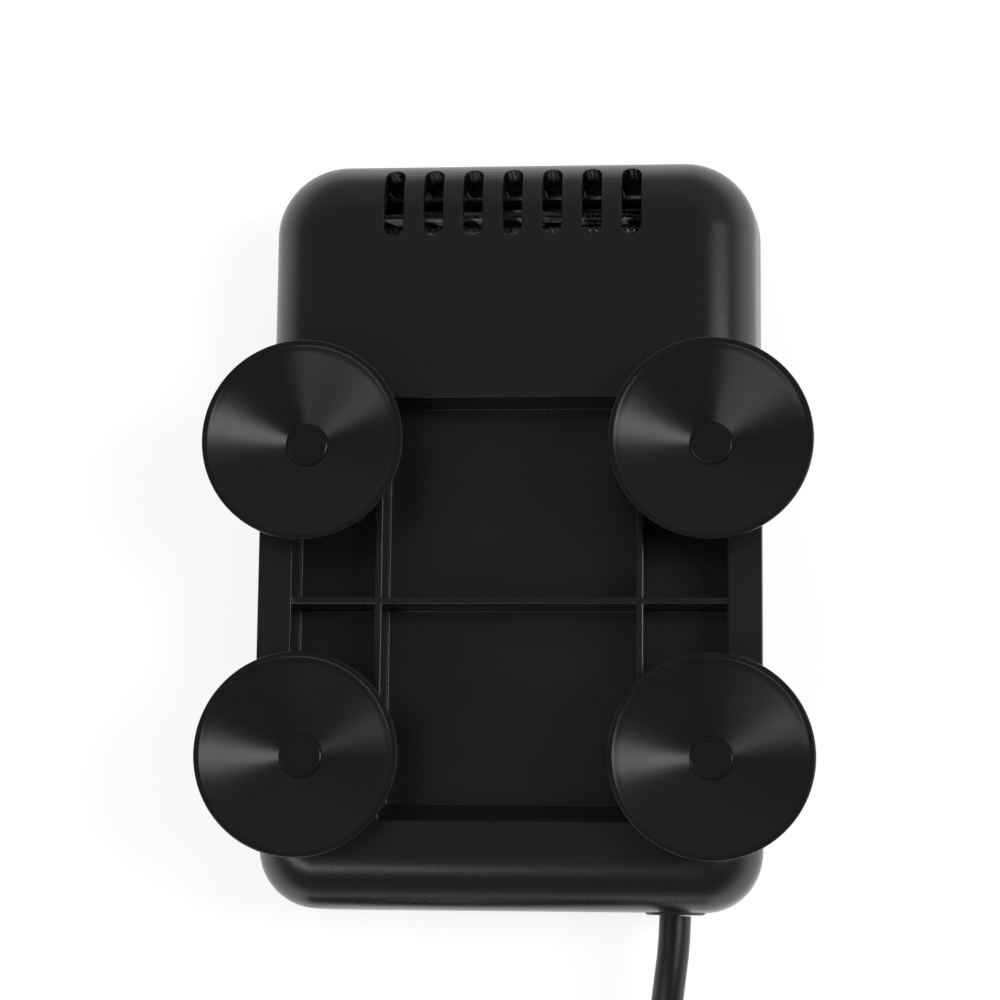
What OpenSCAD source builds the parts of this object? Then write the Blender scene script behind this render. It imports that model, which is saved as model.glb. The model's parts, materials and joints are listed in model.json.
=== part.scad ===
// Submersible aquarium heater: flooded two-shell housing, twin quartz heating tubes,
// sealed controller with display and set button, four suction cups and a mains lead.
// It lies on its flat front face. +Z points out of its back, where the suction cups are,
// +Y points to the vented end and -Y to the end where the lead comes out.
// The origin is under the middle of the housing, on the plane of the front face.

/* [Housing] */
// Width across the side walls
body_w = 88; // [84:1:108]
// Length from the lead end to the vented end
body_l = 134; // [128:1:164]
// Thickness from front face to back face
body_t = 36; // [34:1:44]
// Height of the joint line between the two shells
seam_z = 18; // [16:0.5:20]
// Wall of both shells
wall = 2.2; // [1.8:0.1:2.8]
// Plan radius of the corners at the vented end
vent_corner_r = 13; // [11:0.5:15]
// Plan radius of the corners at the lead end
lead_corner_r = 10.5; // [10:0.5:13]
// Radius of the rounded rim round the back of the hood and of the end bar
back_rim_r = 9; // [6:0.5:9.5]
// Radius of the rounded rim round the front face
front_rim_r = 4; // [3:0.5:6]

/* [Back] */
// Length of the raised hood at the vented end
hood_l = 45; // [42:0.5:50]
// Length of the raised bar at the lead end
bar_l = 15; // [13:0.5:18]
// Depth of the ribbed recess between hood and bar
recess_d = 10.6; // [8.8:0.2:12.8]
// Width of the rim strip on each side of the recess
strip_w = 6; // [5:0.5:7]
// Run of the sloped ledge at the bar's side of the recess
ledge_run = 3.2; // [2:0.2:4]
// Thickness of the stiffening ribs
rib_t = 1.3; // [1:0.1:2]
// Distance of the two long ribs from the middle
rib_x = 22.8; // [21:0.2:23]
// Place of the cross rib along the housing
rib_y = -13.8; // [-16:0.2:-12]
// Step of the rib tops below the back face
rib_drop = 0.5; // [0:0.1:1.5]

/* [Vents] */
// Number of slots in the hood and in the front grille
slot_count = 7; // [5:1:7]
// Distance between slots
slot_pitch = 7; // [6:0.5:7.5]
// Width of a slot
slot_w = 3.3; // [2.6:0.1:3.8]
// Length of a slot in the hood, measured along the housing
slot_l = 13.6; // [11:0.2:15]
// Depth that the slots bite into the end wall
slot_bite = 1.1; // [0.6:0.1:1.2]
// Length of a slot in the front grille
grille_l = 30; // [24:1:32]

/* [Suction cups] */
// Diameter of a cup across its rim
cup_d = 35; // [30:1:36]
// Height of the rim above the back face
cup_rise = 10; // [9:0.5:12]
// Depth of the hollow cone
cup_depth = 5.8; // [5:0.2:6.6]
// Diameter of the flat disc at the bottom of the cone
cup_disc_d = 7.2; // [6:0.2:8]
// Width of the rim's lip
cup_lip = 1.8; // [1.4:0.1:2.4]
// Diameter of the neck that turns in the socket
cup_neck_d = 6.6; // [6:0.1:7]
// Diameter of the knob that holds the cup in the socket
cup_knob_d = 8.4; // [8:0.1:8.6]
// Distance of a cup's axis from the side of the housing
cup_side = 8.8; // [8.4:0.1:9.6]
// Distance of the upper cups' axes from the hood
cup_to_hood = 9; // [8.6:0.1:10]
// Distance of the lower cups' axes from the bar
cup_to_bar = 10.8; // [10.6:0.1:12]
// Outer diameter of a socket boss
socket_d = 14; // [13:0.5:15]

/* [Heating] */
// Diameter of a quartz tube
tube_d = 14; // [11:0.5:14]
// Wall of a quartz tube
tube_wall = 1.2; // [1:0.1:1.5]
// Diameter of the ceramic core
core_d = 6; // [5:0.5:6.5]
// Diameter of the resistance wire
wire_d = 0.9; // [0.7:0.1:1]
// Number of turns of the resistance wire
wire_turns = 14; // [10:1:16]

/* [Controller] */
// Width of the display window
window_w = 38; // [30:1:40]
// Length of the display window
window_l = 18; // [14:1:20]
// Diameter of the set button
button_d = 10; // [8:0.5:11]
// Travel of the set button
button_travel = 0.6; // [0.4:0.1:0.6]

/* [Mains lead] */
// Diameter of the lead
lead_d = 5.6; // [5.6:0.1:5.8]
// Place of the lead across the housing
lead_x = 28.6; // [27:0.2:29]
// Diameter of the gland's outer collar
collar_d = 10.8; // [10:0.2:11.4]

/* [Hidden] */

$fn = 48;
hull_fn = 32;      // facets of the round corners inside a hull
eps = 0.01;
run_gap = 0.05;    // radial clearance of a part that turns or slides in a bore
slip_gap = 0.3;    // space beside a part that moves
seat_gap = 0.1;    // space round a part that is only dropped into its seat
lip_t = 1;         // thickness of the back shell's lip inside the front shell
lip_room = wall + seat_gap + lip_t; // from the outside of the housing to the inside of the lip

half_w = body_w / 2;
half_l = body_l / 2;
hood_y = half_l - hood_l;           // edge of the recess at the hood
bar_y = -half_l + bar_l;            // edge of the recess at the bar
recess_z = body_t - recess_d;       // top of the recess floor
inner_z = recess_z - wall;          // underside of the recess floor
recess_x = half_w - strip_w;

cup_x = half_w - cup_side;
cup_y_upper = hood_y - cup_to_hood;
cup_y_lower = bar_y + cup_to_bar;
cup_rim_z = body_t + cup_rise;
socket_top_z = body_t - 0.5;
socket_lip = 3;                     // thickness of the ring that holds the knob
socket_bore_r = cup_neck_d / 2 + run_gap;
socket_room_r = cup_knob_d / 2 + 0.6;
socket_room_z = recess_z + 0.8;

screw_x = cup_x - 6.7;              // beside the socket bosses, under the cups
screw_from_cup = 8.8;
screw_shank_r = 1.45;
screw_head_r = 2.7;
post_r = 3.5;
post_split_z = seam_z - 4;
screw_points = [for (x = [-screw_x, screw_x]) each [
    [x, cup_y_upper - screw_from_cup],
    [x, cup_y_lower + screw_from_cup]
]];

slot_end_y = half_l - wall + slot_bite;

tube_r = tube_d / 2;
tube_cap_wall = 1.2;
tube_cap_r = tube_r + tube_cap_wall;
tube_half_l = half_w - 9.6;
tube_cap_grip = 6;
tube_cap_end = 2;
tube_z = body_t / 2;
bracket_t = 3;
bracket_x = tube_half_l - tube_cap_grip / 2;
bracket_rib_t = 1.2;                // ribs of the front shell that hold a bracket's foot
bracket_edge = 1.4;                 // material round a tube cap
corner_room = 0.8;                  // what the round corners of the lip take
tube_y_upper = half_l - lip_room - tube_cap_r - bracket_edge - corner_room;
tube_y_lower = tube_y_upper - 2 * tube_cap_r - 2.1;
bracket_foot = tube_cap_r - 0.3;    // reach of a bracket's foot beyond the tube axes
bracket_top_z = tube_z + tube_cap_r + bracket_edge;

capsule_hw = screw_x - post_r - 1;
capsule_y0 = bar_y + 8;
capsule_y1 = hood_y - 8;
capsule_l = capsule_y1 - capsule_y0;
capsule_wall = 1.8;
capsule_z = wall + 2.4;             // front of the capsule
lid_t = 2.4;
pad_h = 0.6;                        // pads of the back shell that hold the lid down
lid_top_z = inner_z - pad_h;
lid_z = lid_top_z - lid_t;
capsule_screw_inset = 3.4;
board_t = 1.6;
board_gap = 0.3;
board_z = capsule_z + 8.6;
board_hw = capsule_hw - capsule_wall - board_gap;
board_y0 = capsule_y0 + capsule_wall + board_gap;
board_y1 = capsule_y1 - capsule_wall - board_gap;
capsule_post_r = 2.8;
board_notch = 2 * (capsule_screw_inset - capsule_wall - board_gap + capsule_post_r + 0.2);

window_y = capsule_y1 - 8 - window_l / 2;
window_rim = 1.6;                   // flange of the window behind the capsule's front
window_step = 1.2;
window_recess = 0.5;
display_t = board_z - capsule_z - capsule_wall - window_step - 0.2;

button_y = capsule_y0 + 14;
button_sink = 0.5;                  // set back from the front face
button_flange_r = button_d / 2 + 1.2;
button_seal_z = capsule_z - 0.3;
button_back_z = button_seal_z - button_travel - slip_gap;
seal_r = 4;
probe_y = (cup_y_upper + cup_y_lower) / 2;
probe_z = (capsule_z + capsule_wall + board_z) / 2;
probe_r = 2.5;
probe_l = 12;

gland_face_y = -half_l - 0.5;
gland_neck_r = 4;
gland_flange_r = gland_neck_r + 1.2;
gland_inner_y = -half_l + wall + 16.3;

// The lead from the gland down to the surface and over to the coil, then from the coil to the plug.
lead_route = [
    [28.6, -67.5, 18], [28.3, -73, 18], [27.6, -79, 17.8], [26.8, -85, 16.9], [25.8, -91, 15.1],
    [24.8, -97, 12.7], [23.9, -103, 9.9], [23.1, -109, 7.3], [22.5, -115, 5.2], [22.1, -121, 4],
    [22, -127, 3.5], [22, -132, 3.5]
];
coil_c = [-15, -132];
coil_r = [23, 39.8];                // inside and outside of the turns
coil_lift = 0.7;                    // the tie lies under the turns
coil_top_r = [31.4, 37];
coil_top_z = 16.8;
tail_route = [
    [2.1, -102.4, 14], [8.2, -105.9, 14.3], [14.2, -109.4, 14.7], [20.2, -112.9, 13.8],
    [26, -117.1, 12.2], [31, -122.5, 10.2], [34.8, -129, 8.3], [37.4, -136, 7.2],
    [38.6, -143.2, 7], [38.6, -150.4, 7]
];
plug_c = [38.6, -150.4, 7];         // where the lead enters the plug
plug_turn = 270;
plug_w = 17;
plug_t = 14;
plug_l = 26;
plug_boot_l = 18;
pin_pitch = 12.7;
pin_l = 17;
pin_w = 6.3;
pin_t = 1.5;

// ---- helpers ----

// Plan outline of the housing, drawn in by an inset.
module outline(inset = 0) {
    w = half_w - inset;
    l = half_l - inset;
    rv = vent_corner_r - inset;
    rl = lead_corner_r - inset;
    translate([-w, -l + rl]) square([2 * w, 2 * l - rl - rv]);
    translate([-w + rv, 0]) square([2 * (w - rv), l]);
    translate([-w + rl, -l]) square([2 * (w - rl), l]);
    for (s = [-1, 1]) {
        translate([s * (w - rv), l - rv]) circle(rv);
        translate([s * (w - rl), -l + rl]) circle(rl);
    }
}

// Quarter-round profile of a rim: a disc of radius r whose upper edge is rounded by rim.
module rim_profile(r, h, rim) {
    intersection() {
        union() {
            square([r, h - rim]);
            square([r - rim, h]);
            translate([r - rim, h - rim]) circle(rim, $fn = hull_fn);
        }
        square([r, h]);
    }
}

// One corner of a rounded block, standing on z = 0.
module corner(r, h, rim) {
    rotate_extrude($fn = hull_fn) rim_profile(r, h, min(rim, r - 0.2));
}

// Square end of a block, with the same rounded rim. It narrows away from the end face,
// so that only the end face itself shapes the hull. It points to -Y.
module block_end(w, h, rim) {
    rotate([90, 0, 0]) linear_extrude(1, scale = 0.5) {
        rim_profile(w, h, rim);
        mirror([1, 0]) rim_profile(w, h, rim);
    }
}

// Raised block at the vented end, from y to the end of the housing.
module hood_block(y, z, top_z, inset) {
    w = half_w - inset;
    r = vent_corner_r - inset;
    rim = back_rim_r - inset;
    translate([0, 0, z]) hull() {
        for (s = [-1, 1]) {
            translate([s * (w - r), half_l - inset - r, 0]) corner(r, top_z - z, rim);
        }
        translate([0, y, 0]) mirror([0, 1, 0]) block_end(w, top_z - z, rim);
    }
}

// Raised block at the lead end, from y to the end of the housing.
module bar_block(y, z, top_z, inset) {
    w = half_w - inset;
    r = lead_corner_r - inset;
    rim = back_rim_r - inset;
    translate([0, 0, z]) hull() {
        for (s = [-1, 1]) {
            translate([s * (w - r), -half_l + inset + r, 0]) corner(r, top_z - z, rim);
        }
        translate([0, y, 0]) block_end(w, top_z - z, rim);
    }
}

// Front tray with its rim rounded downwards, from z = low to the joint line.
module front_block(low, inset) {
    w = half_w - inset;
    rim = front_rim_r - inset;
    translate([0, 0, seam_z]) mirror([0, 0, 1]) hull() {
        for (s = [-1, 1]) {
            translate([s * (w - vent_corner_r + inset), half_l - vent_corner_r, 0])
                corner(vent_corner_r - inset, seam_z - low, rim);
            translate([s * (w - lead_corner_r + inset), -half_l + lead_corner_r, 0])
                corner(lead_corner_r - inset, seam_z - low, rim);
        }
    }
}

module slot(w, l, h) {
    linear_extrude(h) {
        translate([-w / 2, -l / 2 + w / 2]) square([w, l - w]);
        for (s = [-1, 1]) translate([0, s * (l / 2 - w / 2)]) circle(w / 2);
    }
}

module at_screws() {
    for (p = screw_points) translate([p[0], p[1], 0]) children();
}

module at_sockets() {
    for (x = [-cup_x, cup_x]) for (y = [cup_y_upper, cup_y_lower]) translate([x, y, 0]) children();
}

module at_capsule_corners() {
    for (x = [-1, 1]) for (y = [capsule_y0 + capsule_screw_inset, capsule_y1 - capsule_screw_inset]) {
        translate([x * (capsule_hw - capsule_screw_inset), y, 0]) children();
    }
}

// Hole for the gland's neck, and room for its flange behind the wall.
module gland_hole() {
    translate([lead_x, -half_l + wall + 3, seam_z]) rotate([90, 0, 0]) {
        cylinder(r = gland_neck_r + run_gap, h = 8);
        cylinder(r = gland_flange_r + slip_gap, h = 3);
    }
}

// Tube of round section along a list of points that never run straight up.
function unit(v) = v / norm(v);
function heading(path, i) = unit(path[min(i + 1, len(path) - 1)] - path[max(i - 1, 0)]);
function ring(path, i, r, sides) =
    let (d = heading(path, i), side = unit(cross(d, [0, 0, 1])), up = cross(side, d))
    [for (k = [0 : sides - 1]) path[i] + r * (cos(360 * k / sides) * side + sin(360 * k / sides) * up)];

module swept_tube(path, r, sides) {
    last = len(path) - 1;
    points = [for (i = [0 : last]) each ring(path, i, r, sides)];
    walls = [for (i = [0 : last - 1]) for (k = [0 : sides - 1])
        let (a = i * sides + k, b = i * sides + (k + 1) % sides)
        each [[a, b, b + sides], [a, b + sides, a + sides]]];
    start_cap = [for (k = [sides - 1 : -1 : 0]) k];
    end_cap = [for (k = [0 : sides - 1]) last * sides + k];
    polyhedron(points, concat(walls, [start_cap], [end_cap]));
}

// ---- housing ----

module recess_cut() {
    // The wall at the hood is square and the one at the bar slopes.
    rotate([90, 0, 90]) linear_extrude(2 * recess_x, center = true) polygon([
        [hood_y, recess_z], [hood_y, body_t + 1], [bar_y, body_t + 1],
        [bar_y, body_t], [bar_y + ledge_run, recess_z]
    ]);
}

module back_ribs() {
    rib_h = body_t - rib_drop - recess_z + 1;
    translate([0, 0, recess_z - 1]) {
        for (s = [-1, 1]) {
            translate([s * rib_x - rib_t / 2, bar_y - 0.5, 0]) cube([rib_t, hood_y - bar_y + 1, rib_h]);
        }
        translate([-recess_x - 1, rib_y - rib_t / 2, 0]) cube([2 * recess_x + 2, rib_t, rib_h]);
    }
}

module back_shell() {
    color("#1c1c1e") difference() {
        union() {
            difference() {
                union() {
                    hood_block(hood_y, seam_z, body_t, 0);
                    bar_block(bar_y, seam_z, body_t, 0);
                    translate([-half_w, bar_y, seam_z]) cube([body_w, hood_y - bar_y, body_t - seam_z]);
                }
                hood_block(hood_y + wall, seam_z - 1, body_t - wall, wall);
                bar_block(bar_y - wall, seam_z - 1, body_t - wall, wall);
                translate([-half_w + wall, bar_y - wall - 1, seam_z - 1])
                    cube([body_w - 2 * wall, hood_y - bar_y + 2 * wall + 2, inner_z - seam_z + 1]);
                recess_cut();
            }
            back_ribs();
            at_sockets() translate([0, 0, recess_z - 1])
                cylinder(d = socket_d, h = socket_top_z - recess_z + 1);
            at_screws() translate([0, 0, post_split_z]) cylinder(r = post_r, h = inner_z - post_split_z + 1);
            for (s = [-1, 1]) {
                translate([s * capsule_hw * 0.6 - 1, capsule_y0 + 8, lid_top_z])
                    cube([2, capsule_l - 16, pad_h + 1]);
            }
            tongue();
        }
        for (i = [0 : slot_count - 1]) {
            translate([(i - (slot_count - 1) / 2) * slot_pitch, slot_end_y - slot_l / 2, seam_z + 3])
                slot(slot_w, slot_l, body_t);
        }
        at_sockets() {
            translate([0, 0, socket_room_z])
                cylinder(r = socket_room_r, h = socket_top_z - socket_lip - socket_room_z);
            translate([0, 0, socket_room_z]) cylinder(r = socket_bore_r, h = body_t);
        }
        at_screws() translate([0, 0, post_split_z - 1]) cylinder(r = screw_shank_r + run_gap, h = body_t);
        gland_hole();
    }
}

// Lip of the back shell that drops inside the front shell.
module tongue() {
    lip_h = 1.5;
    translate([0, 0, seam_z - lip_h]) linear_extrude(lip_h + 0.5) difference() {
        outline(wall + seat_gap);
        outline(lip_room);
    }
    translate([0, 0, seam_z]) linear_extrude(1.5) difference() {
        outline(wall / 2);
        outline(lip_room);
    }
}

module front_shell() {
    color("#1c1c1e") difference() {
        union() {
            difference() {
                front_block(0, 0);
                translate([0, 0, 1]) front_block(wall - 1, wall);
            }
            at_screws() translate([0, 0, wall - 1]) cylinder(r = post_r, h = post_split_z - wall + 1);
            at_capsule_corners() translate([0, 0, wall - 1]) cylinder(r = 2.5, h = capsule_z - wall + 1);
            translate([0, button_y, wall - 1]) cylinder(r = button_flange_r + 1.4, h = 2.6);
            for (s = [-1, 1]) for (e = [-1, 1]) {
                x = s * bracket_x + e * (bracket_t / 2 + seat_gap + bracket_rib_t / 2);
                translate([x - bracket_rib_t / 2, tube_y_lower - bracket_foot, wall - 1])
                    cube([bracket_rib_t, tube_y_upper - tube_y_lower + 2 * bracket_foot, 3]);
            }
        }
        for (i = [0 : slot_count - 1]) {
            translate([(i - (slot_count - 1) / 2) * slot_pitch, (tube_y_upper + tube_y_lower) / 2, -1])
                slot(slot_w, grille_l, wall + 2);
        }
        translate([-window_w / 2 - seat_gap, window_y - window_l / 2 - seat_gap, -1])
            cube([window_w + 2 * seat_gap, window_l + 2 * seat_gap, wall + 2]);
        translate([0, button_y, -1]) cylinder(r = button_d / 2 + run_gap, h = wall + 2);
        translate([0, button_y, wall]) cylinder(r = button_flange_r + slip_gap, h = 3);
        at_screws() translate([0, 0, wall + 2]) cylinder(r = screw_shank_r + run_gap, h = post_split_z);
        gland_hole();
    }
}

module housing_screws() {
    tip_z = wall + 5;
    color("#b8babd") at_screws() {
        translate([0, 0, tip_z]) cylinder(r = screw_shank_r, h = recess_z - tip_z + 0.5);
        translate([0, 0, recess_z]) difference() {
            cylinder(r = screw_head_r, h = 1.8);
            for (a = [0, 90]) rotate([0, 0, a]) translate([-1.6, -0.3, 0.9]) cube([3.2, 0.6, 1]);
        }
    }
}

// ---- suction cups ----

module suction_cup(x, y) {
    rim_r = cup_d / 2;
    disc_r = cup_disc_d / 2;
    neck_r = cup_neck_d / 2;
    knob_r = cup_knob_d / 2;
    knob_top = socket_top_z - socket_lip - slip_gap;
    shoulder_z = body_t + slip_gap; // clear of the rim strips beside the boss
    disc_z = cup_rim_z - cup_depth;
    lip_z = cup_rim_z - 0.5;
    lip_r = rim_r - cup_lip;
    translate([x, y, 0]) color("#232325") rotate_extrude($fn = 96) polygon([
        [0, knob_top - 4.2], [knob_r - 1.4, knob_top - 4.2], [knob_r, knob_top - 2.4], [knob_r, knob_top],
        [neck_r, knob_top], [neck_r, shoulder_z], [neck_r + 2.4, shoulder_z],
        [neck_r + 2.9, shoulder_z + 1.4], [neck_r + 5.2, shoulder_z + 3.6],
        [neck_r + 8.6, shoulder_z + 6], [rim_r - 1.6, cup_rim_z - 1.5],
        [rim_r, cup_rim_z - 0.8], [rim_r, cup_rim_z], [rim_r - 0.9, cup_rim_z], [lip_r, lip_z],
        [disc_r, disc_z], [0, disc_z]
    ]);
}

module suction_cup_upper_left() { suction_cup(-cup_x, cup_y_upper); }
module suction_cup_upper_right() { suction_cup(cup_x, cup_y_upper); }
module suction_cup_lower_left() { suction_cup(-cup_x, cup_y_lower); }
module suction_cup_lower_right() { suction_cup(cup_x, cup_y_lower); }

// ---- heating ----

module along_x(y, l) {
    translate([-l / 2, y, tube_z]) rotate([0, 90, 0]) children();
}

module quartz_tube(y) {
    color("#cfd6da", 0.5) along_x(y, 2 * tube_half_l) difference() {
        cylinder(r = tube_r, h = 2 * tube_half_l);
        translate([0, 0, -1]) cylinder(r = tube_r - tube_wall, h = 2 * tube_half_l + 2);
    }
}

module quartz_tube_upper() { quartz_tube(tube_y_upper); }
module quartz_tube_lower() { quartz_tube(tube_y_lower); }

module element_core(y) {
    color("#e6e2d8") along_x(y, 2 * tube_half_l) cylinder(d = core_d, h = 2 * tube_half_l);
}

module element_core_upper() { element_core(tube_y_upper); }
module element_core_lower() { element_core(tube_y_lower); }

module element_wire(y) {
    steps = 12;
    wire_gap = 0.25;
    span = 2 * tube_half_l - 2 * tube_cap_grip - 6;
    wind_r = core_d / 2 + wire_d / 2 + wire_gap;
    last = wire_turns * steps;
    path = [for (i = [0 : last]) [
        -span / 2 + span * i / last,
        y + wind_r * cos(360 * i / steps),
        tube_z + wind_r * sin(360 * i / steps)
    ]];
    color("#8d8a86") wire_sweep(path, wire_d / 2, y);
}

// Wire wound round an axis along X: each ring stands on the radius from that axis.
module wire_sweep(path, r, y) {
    sides = 5;
    last = len(path) - 1;
    function out(p) = unit([0, p[1] - y, p[2] - tube_z]);
    points = [for (p = path) for (k = [0 : sides - 1])
        p + r * (cos(360 * k / sides) * out(p) + sin(360 * k / sides) * [1, 0, 0])];
    walls = [for (i = [0 : last - 1]) for (k = [0 : sides - 1])
        let (a = i * sides + k, b = i * sides + (k + 1) % sides)
        each [[a, b + sides, b], [a, a + sides, b + sides]]];
    polyhedron(points, concat(walls, [[for (k = [0 : sides - 1]) k]],
        [[for (k = [sides - 1 : -1 : 0]) last * sides + k]]));
}

module element_wire_upper() { element_wire(tube_y_upper); }
module element_wire_lower() { element_wire(tube_y_lower); }

module tube_cap(s, y) {
    color("#2b2b2d") translate([s * (tube_half_l - tube_cap_grip), y, tube_z]) rotate([0, s * 90, 0])
        difference() {
            cylinder(r = tube_cap_r, h = tube_cap_grip + tube_cap_end);
            translate([0, 0, -1]) cylinder(r = tube_r + run_gap, h = tube_cap_grip + 1);
        }
}

module tube_cap_upper_left() { tube_cap(-1, tube_y_upper); }
module tube_cap_upper_right() { tube_cap(1, tube_y_upper); }
module tube_cap_lower_left() { tube_cap(-1, tube_y_lower); }
module tube_cap_lower_right() { tube_cap(1, tube_y_lower); }

module tube_bracket(s) {
    y0 = tube_y_lower - tube_cap_r - bracket_edge;
    y1 = tube_y_upper + tube_cap_r + bracket_edge;
    color("#303032") translate([s * bracket_x, 0, 0]) difference() {
        union() {
            translate([-bracket_t / 2, tube_y_lower - bracket_foot, wall])
                cube([bracket_t, tube_y_upper - tube_y_lower + 2 * bracket_foot, tube_z - wall]);
            translate([-bracket_t / 2, y0, tube_z - 6]) cube([bracket_t, y1 - y0, 6]);
            translate([-bracket_t / 2, (y0 + y1) / 2 - 4, wall]) cube([bracket_t, 8, bracket_top_z - wall]);
            for (y = [tube_y_lower, tube_y_upper]) translate([-bracket_t / 2, y, tube_z])
                rotate([0, 90, 0]) cylinder(r = tube_cap_r + bracket_edge, h = bracket_t);
        }
        for (y = [tube_y_lower, tube_y_upper]) translate([-bracket_t, y, tube_z])
            rotate([0, 90, 0]) cylinder(r = tube_cap_r + run_gap, h = 2 * bracket_t);
    }
}

module tube_bracket_left() { tube_bracket(-1); }
module tube_bracket_right() { tube_bracket(1); }

// Bimetal cut-out on the right bracket, between the two tubes.
module thermal_cutout() {
    l = 14;
    w = 4.8;
    h = 3.4;
    color("#d8d2c4") translate([
        bracket_x - bracket_t / 2 - l, (tube_y_upper + tube_y_lower - w) / 2, bracket_top_z - h - 0.6
    ]) cube([l, w, h]);
}

module heater_leads() {
    lead_r = 1;
    y = capsule_y1;
    x = capsule_hw;
    z = (capsule_z + lid_z) / 2;
    end_x = tube_half_l + tube_cap_end;
    bend_x = half_w - lip_room - lead_r - slip_gap;
    color("#a8452e") for (s = [-1, 1]) {
        swept_tube([
            [s * (x - 9), y, z], [s * (x - 9), y + 3, z], [s * (x - 4), y + 6, z + 1],
            [s * (bend_x - 6), y + 9, tube_z + 1], [s * (bend_x - 1.5), y + 13, tube_z + 1],
            [s * bend_x, tube_y_lower - 3, tube_z], [s * (end_x + 2.4), tube_y_lower - 0.6, tube_z],
            [s * (end_x + 1), tube_y_lower, tube_z], [s * end_x, tube_y_lower, tube_z]
        ], lead_r, 6);
        swept_tube([
            [s * (x - 14), y, z], [s * (x - 14), y + 3, z], [s * (x - 8), y + 6, z - 4],
            [s * (bend_x - 8), y + 8, tube_z - 6], [s * (bend_x - 1), tube_y_lower - 6, tube_z - 6],
            [s * bend_x, tube_y_lower + 8, tube_z - 6], [s * bend_x, tube_y_upper - 6, tube_z - 4],
            [s * (end_x + 2.4), tube_y_upper - 0.6, tube_z], [s * (end_x + 1), tube_y_upper, tube_z],
            [s * end_x, tube_y_upper, tube_z]
        ], lead_r, 6);
    }
}

// ---- sealed controller ----

module capsule_body() {
    color("#26262a") difference() {
        union() {
            difference() {
                translate([-capsule_hw, capsule_y0, capsule_z])
                    cube([2 * capsule_hw, capsule_l, lid_z - capsule_z]);
                translate([-capsule_hw + capsule_wall, capsule_y0 + capsule_wall, capsule_z + capsule_wall])
                    cube([2 * (capsule_hw - capsule_wall), capsule_l - 2 * capsule_wall, body_t]);
            }
            at_capsule_corners() translate([0, 0, capsule_z + 1])
                cylinder(r = capsule_post_r, h = lid_z - capsule_z - 1);
            for (s = [-1, 1]) {
                translate([s * board_hw / 2 - 1, button_y + 4, capsule_z + 1])
                    cube([2, window_y - window_l / 2 - window_rim - button_y - 5, board_z - capsule_z - 1]);
            }
        }
        translate([-window_w / 2 - seat_gap, window_y - window_l / 2 - seat_gap, capsule_z - 1])
            cube([window_w + 2 * seat_gap, window_l + 2 * seat_gap, capsule_wall + 2]);
        translate([0, button_y, capsule_z - 1]) cylinder(r = seal_r + seat_gap, h = capsule_wall + 2);
        at_capsule_corners() translate([0, 0, capsule_z + 4]) cylinder(r = 1.1, h = body_t);
        translate([-capsule_hw - 1, probe_y, probe_z]) rotate([0, 90, 0])
            cylinder(r = probe_r + run_gap, h = 4);
        for (e = [-4, 4]) {
            translate([capsule_hw - 3, probe_y + e, probe_z]) rotate([0, 90, 0])
                cylinder(r = 1 + run_gap, h = 4);
        }
    }
}

module capsule_lid() {
    color("#26262a") difference() {
        translate([-capsule_hw, capsule_y0, lid_z]) cube([2 * capsule_hw, capsule_l, lid_t]);
        at_capsule_corners() {
            translate([0, 0, lid_z - 1]) cylinder(r = 1.25, h = lid_t + 2);
            translate([0, 0, lid_z + 1.2]) cylinder(r = 2.2, h = lid_t);
        }
        seal_ring(0.9, lid_z - 1, 1.9, 0);
    }
}

// Rectangular ring on the middle of the capsule's wall.
module seal_ring(w, z, h, shrink) {
    mid = capsule_wall / 2;
    hw = capsule_hw - mid;
    translate([0, (capsule_y0 + capsule_y1) / 2, z]) linear_extrude(h) difference() {
        square([2 * hw + w - shrink, capsule_l - 2 * mid + w - shrink], center = true);
        square([2 * hw - w + shrink, capsule_l - 2 * mid - w + shrink], center = true);
    }
}

module capsule_seal() {
    color("#7a2f28") seal_ring(0.9, lid_z, 0.9, 0.2);
}

module capsule_screws() {
    color("#b8babd") at_capsule_corners() {
        translate([0, 0, lid_z - 6]) cylinder(r = 1.05, h = 7.5);
        translate([0, 0, lid_z + 1.2]) cylinder(r = 2, h = 1.1);
    }
}

module control_board() {
    color("#1f5c38") difference() {
        translate([-board_hw, board_y0, board_z]) cube([2 * board_hw, board_y1 - board_y0, board_t]);
        for (x = [-1, 1]) for (y = [board_y0, board_y1]) {
            translate([x * board_hw, y, board_z + board_t / 2])
                cube([board_notch, board_notch, 2 * board_t], center = true);
        }
    }
}

module display_module() {
    w = window_w - 6;
    l = window_l - 5;
    color("#141416") translate([-w / 2, window_y - l / 2, board_z - display_t]) cube([w, l, display_t]);
}

module display_window() {
    color("#20242c", 0.6) {
        translate([-window_w / 2, window_y - window_l / 2, window_recess])
            cube([window_w, window_l, capsule_z + capsule_wall - window_recess + 0.1]);
        translate([0, window_y, capsule_z + capsule_wall]) linear_extrude(window_step)
            square([window_w + 2 * window_rim, window_l + 2 * window_rim], center = true);
    }
}

// Power switch lying flat on the board, with its cooling tab.
module power_triac() {
    body_h = min(4.4, lid_z - board_z - board_t - 0.5);
    tab_h = 1.3;
    color("#2c2c30") translate([0, window_y, board_z + board_t]) {
        translate([-5, -9, 0]) cube([10, 9, body_h]);
        difference() {
            translate([-5, -1, 0]) cube([10, 8, tab_h]);
            translate([0, 4, -1]) cylinder(r = 1.8, h = tab_h + 2);
        }
    }
}

module terminal_block() {
    color("#3a7d44") translate([-12, capsule_y0 + 6, board_z + board_t]) difference() {
        cube([16, 8, lid_z - board_z - board_t - 1]);
        for (i = [0 : 2]) translate([3 + 5 * i, 4, 1]) cylinder(r = 1.4, h = 9);
    }
}

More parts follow.
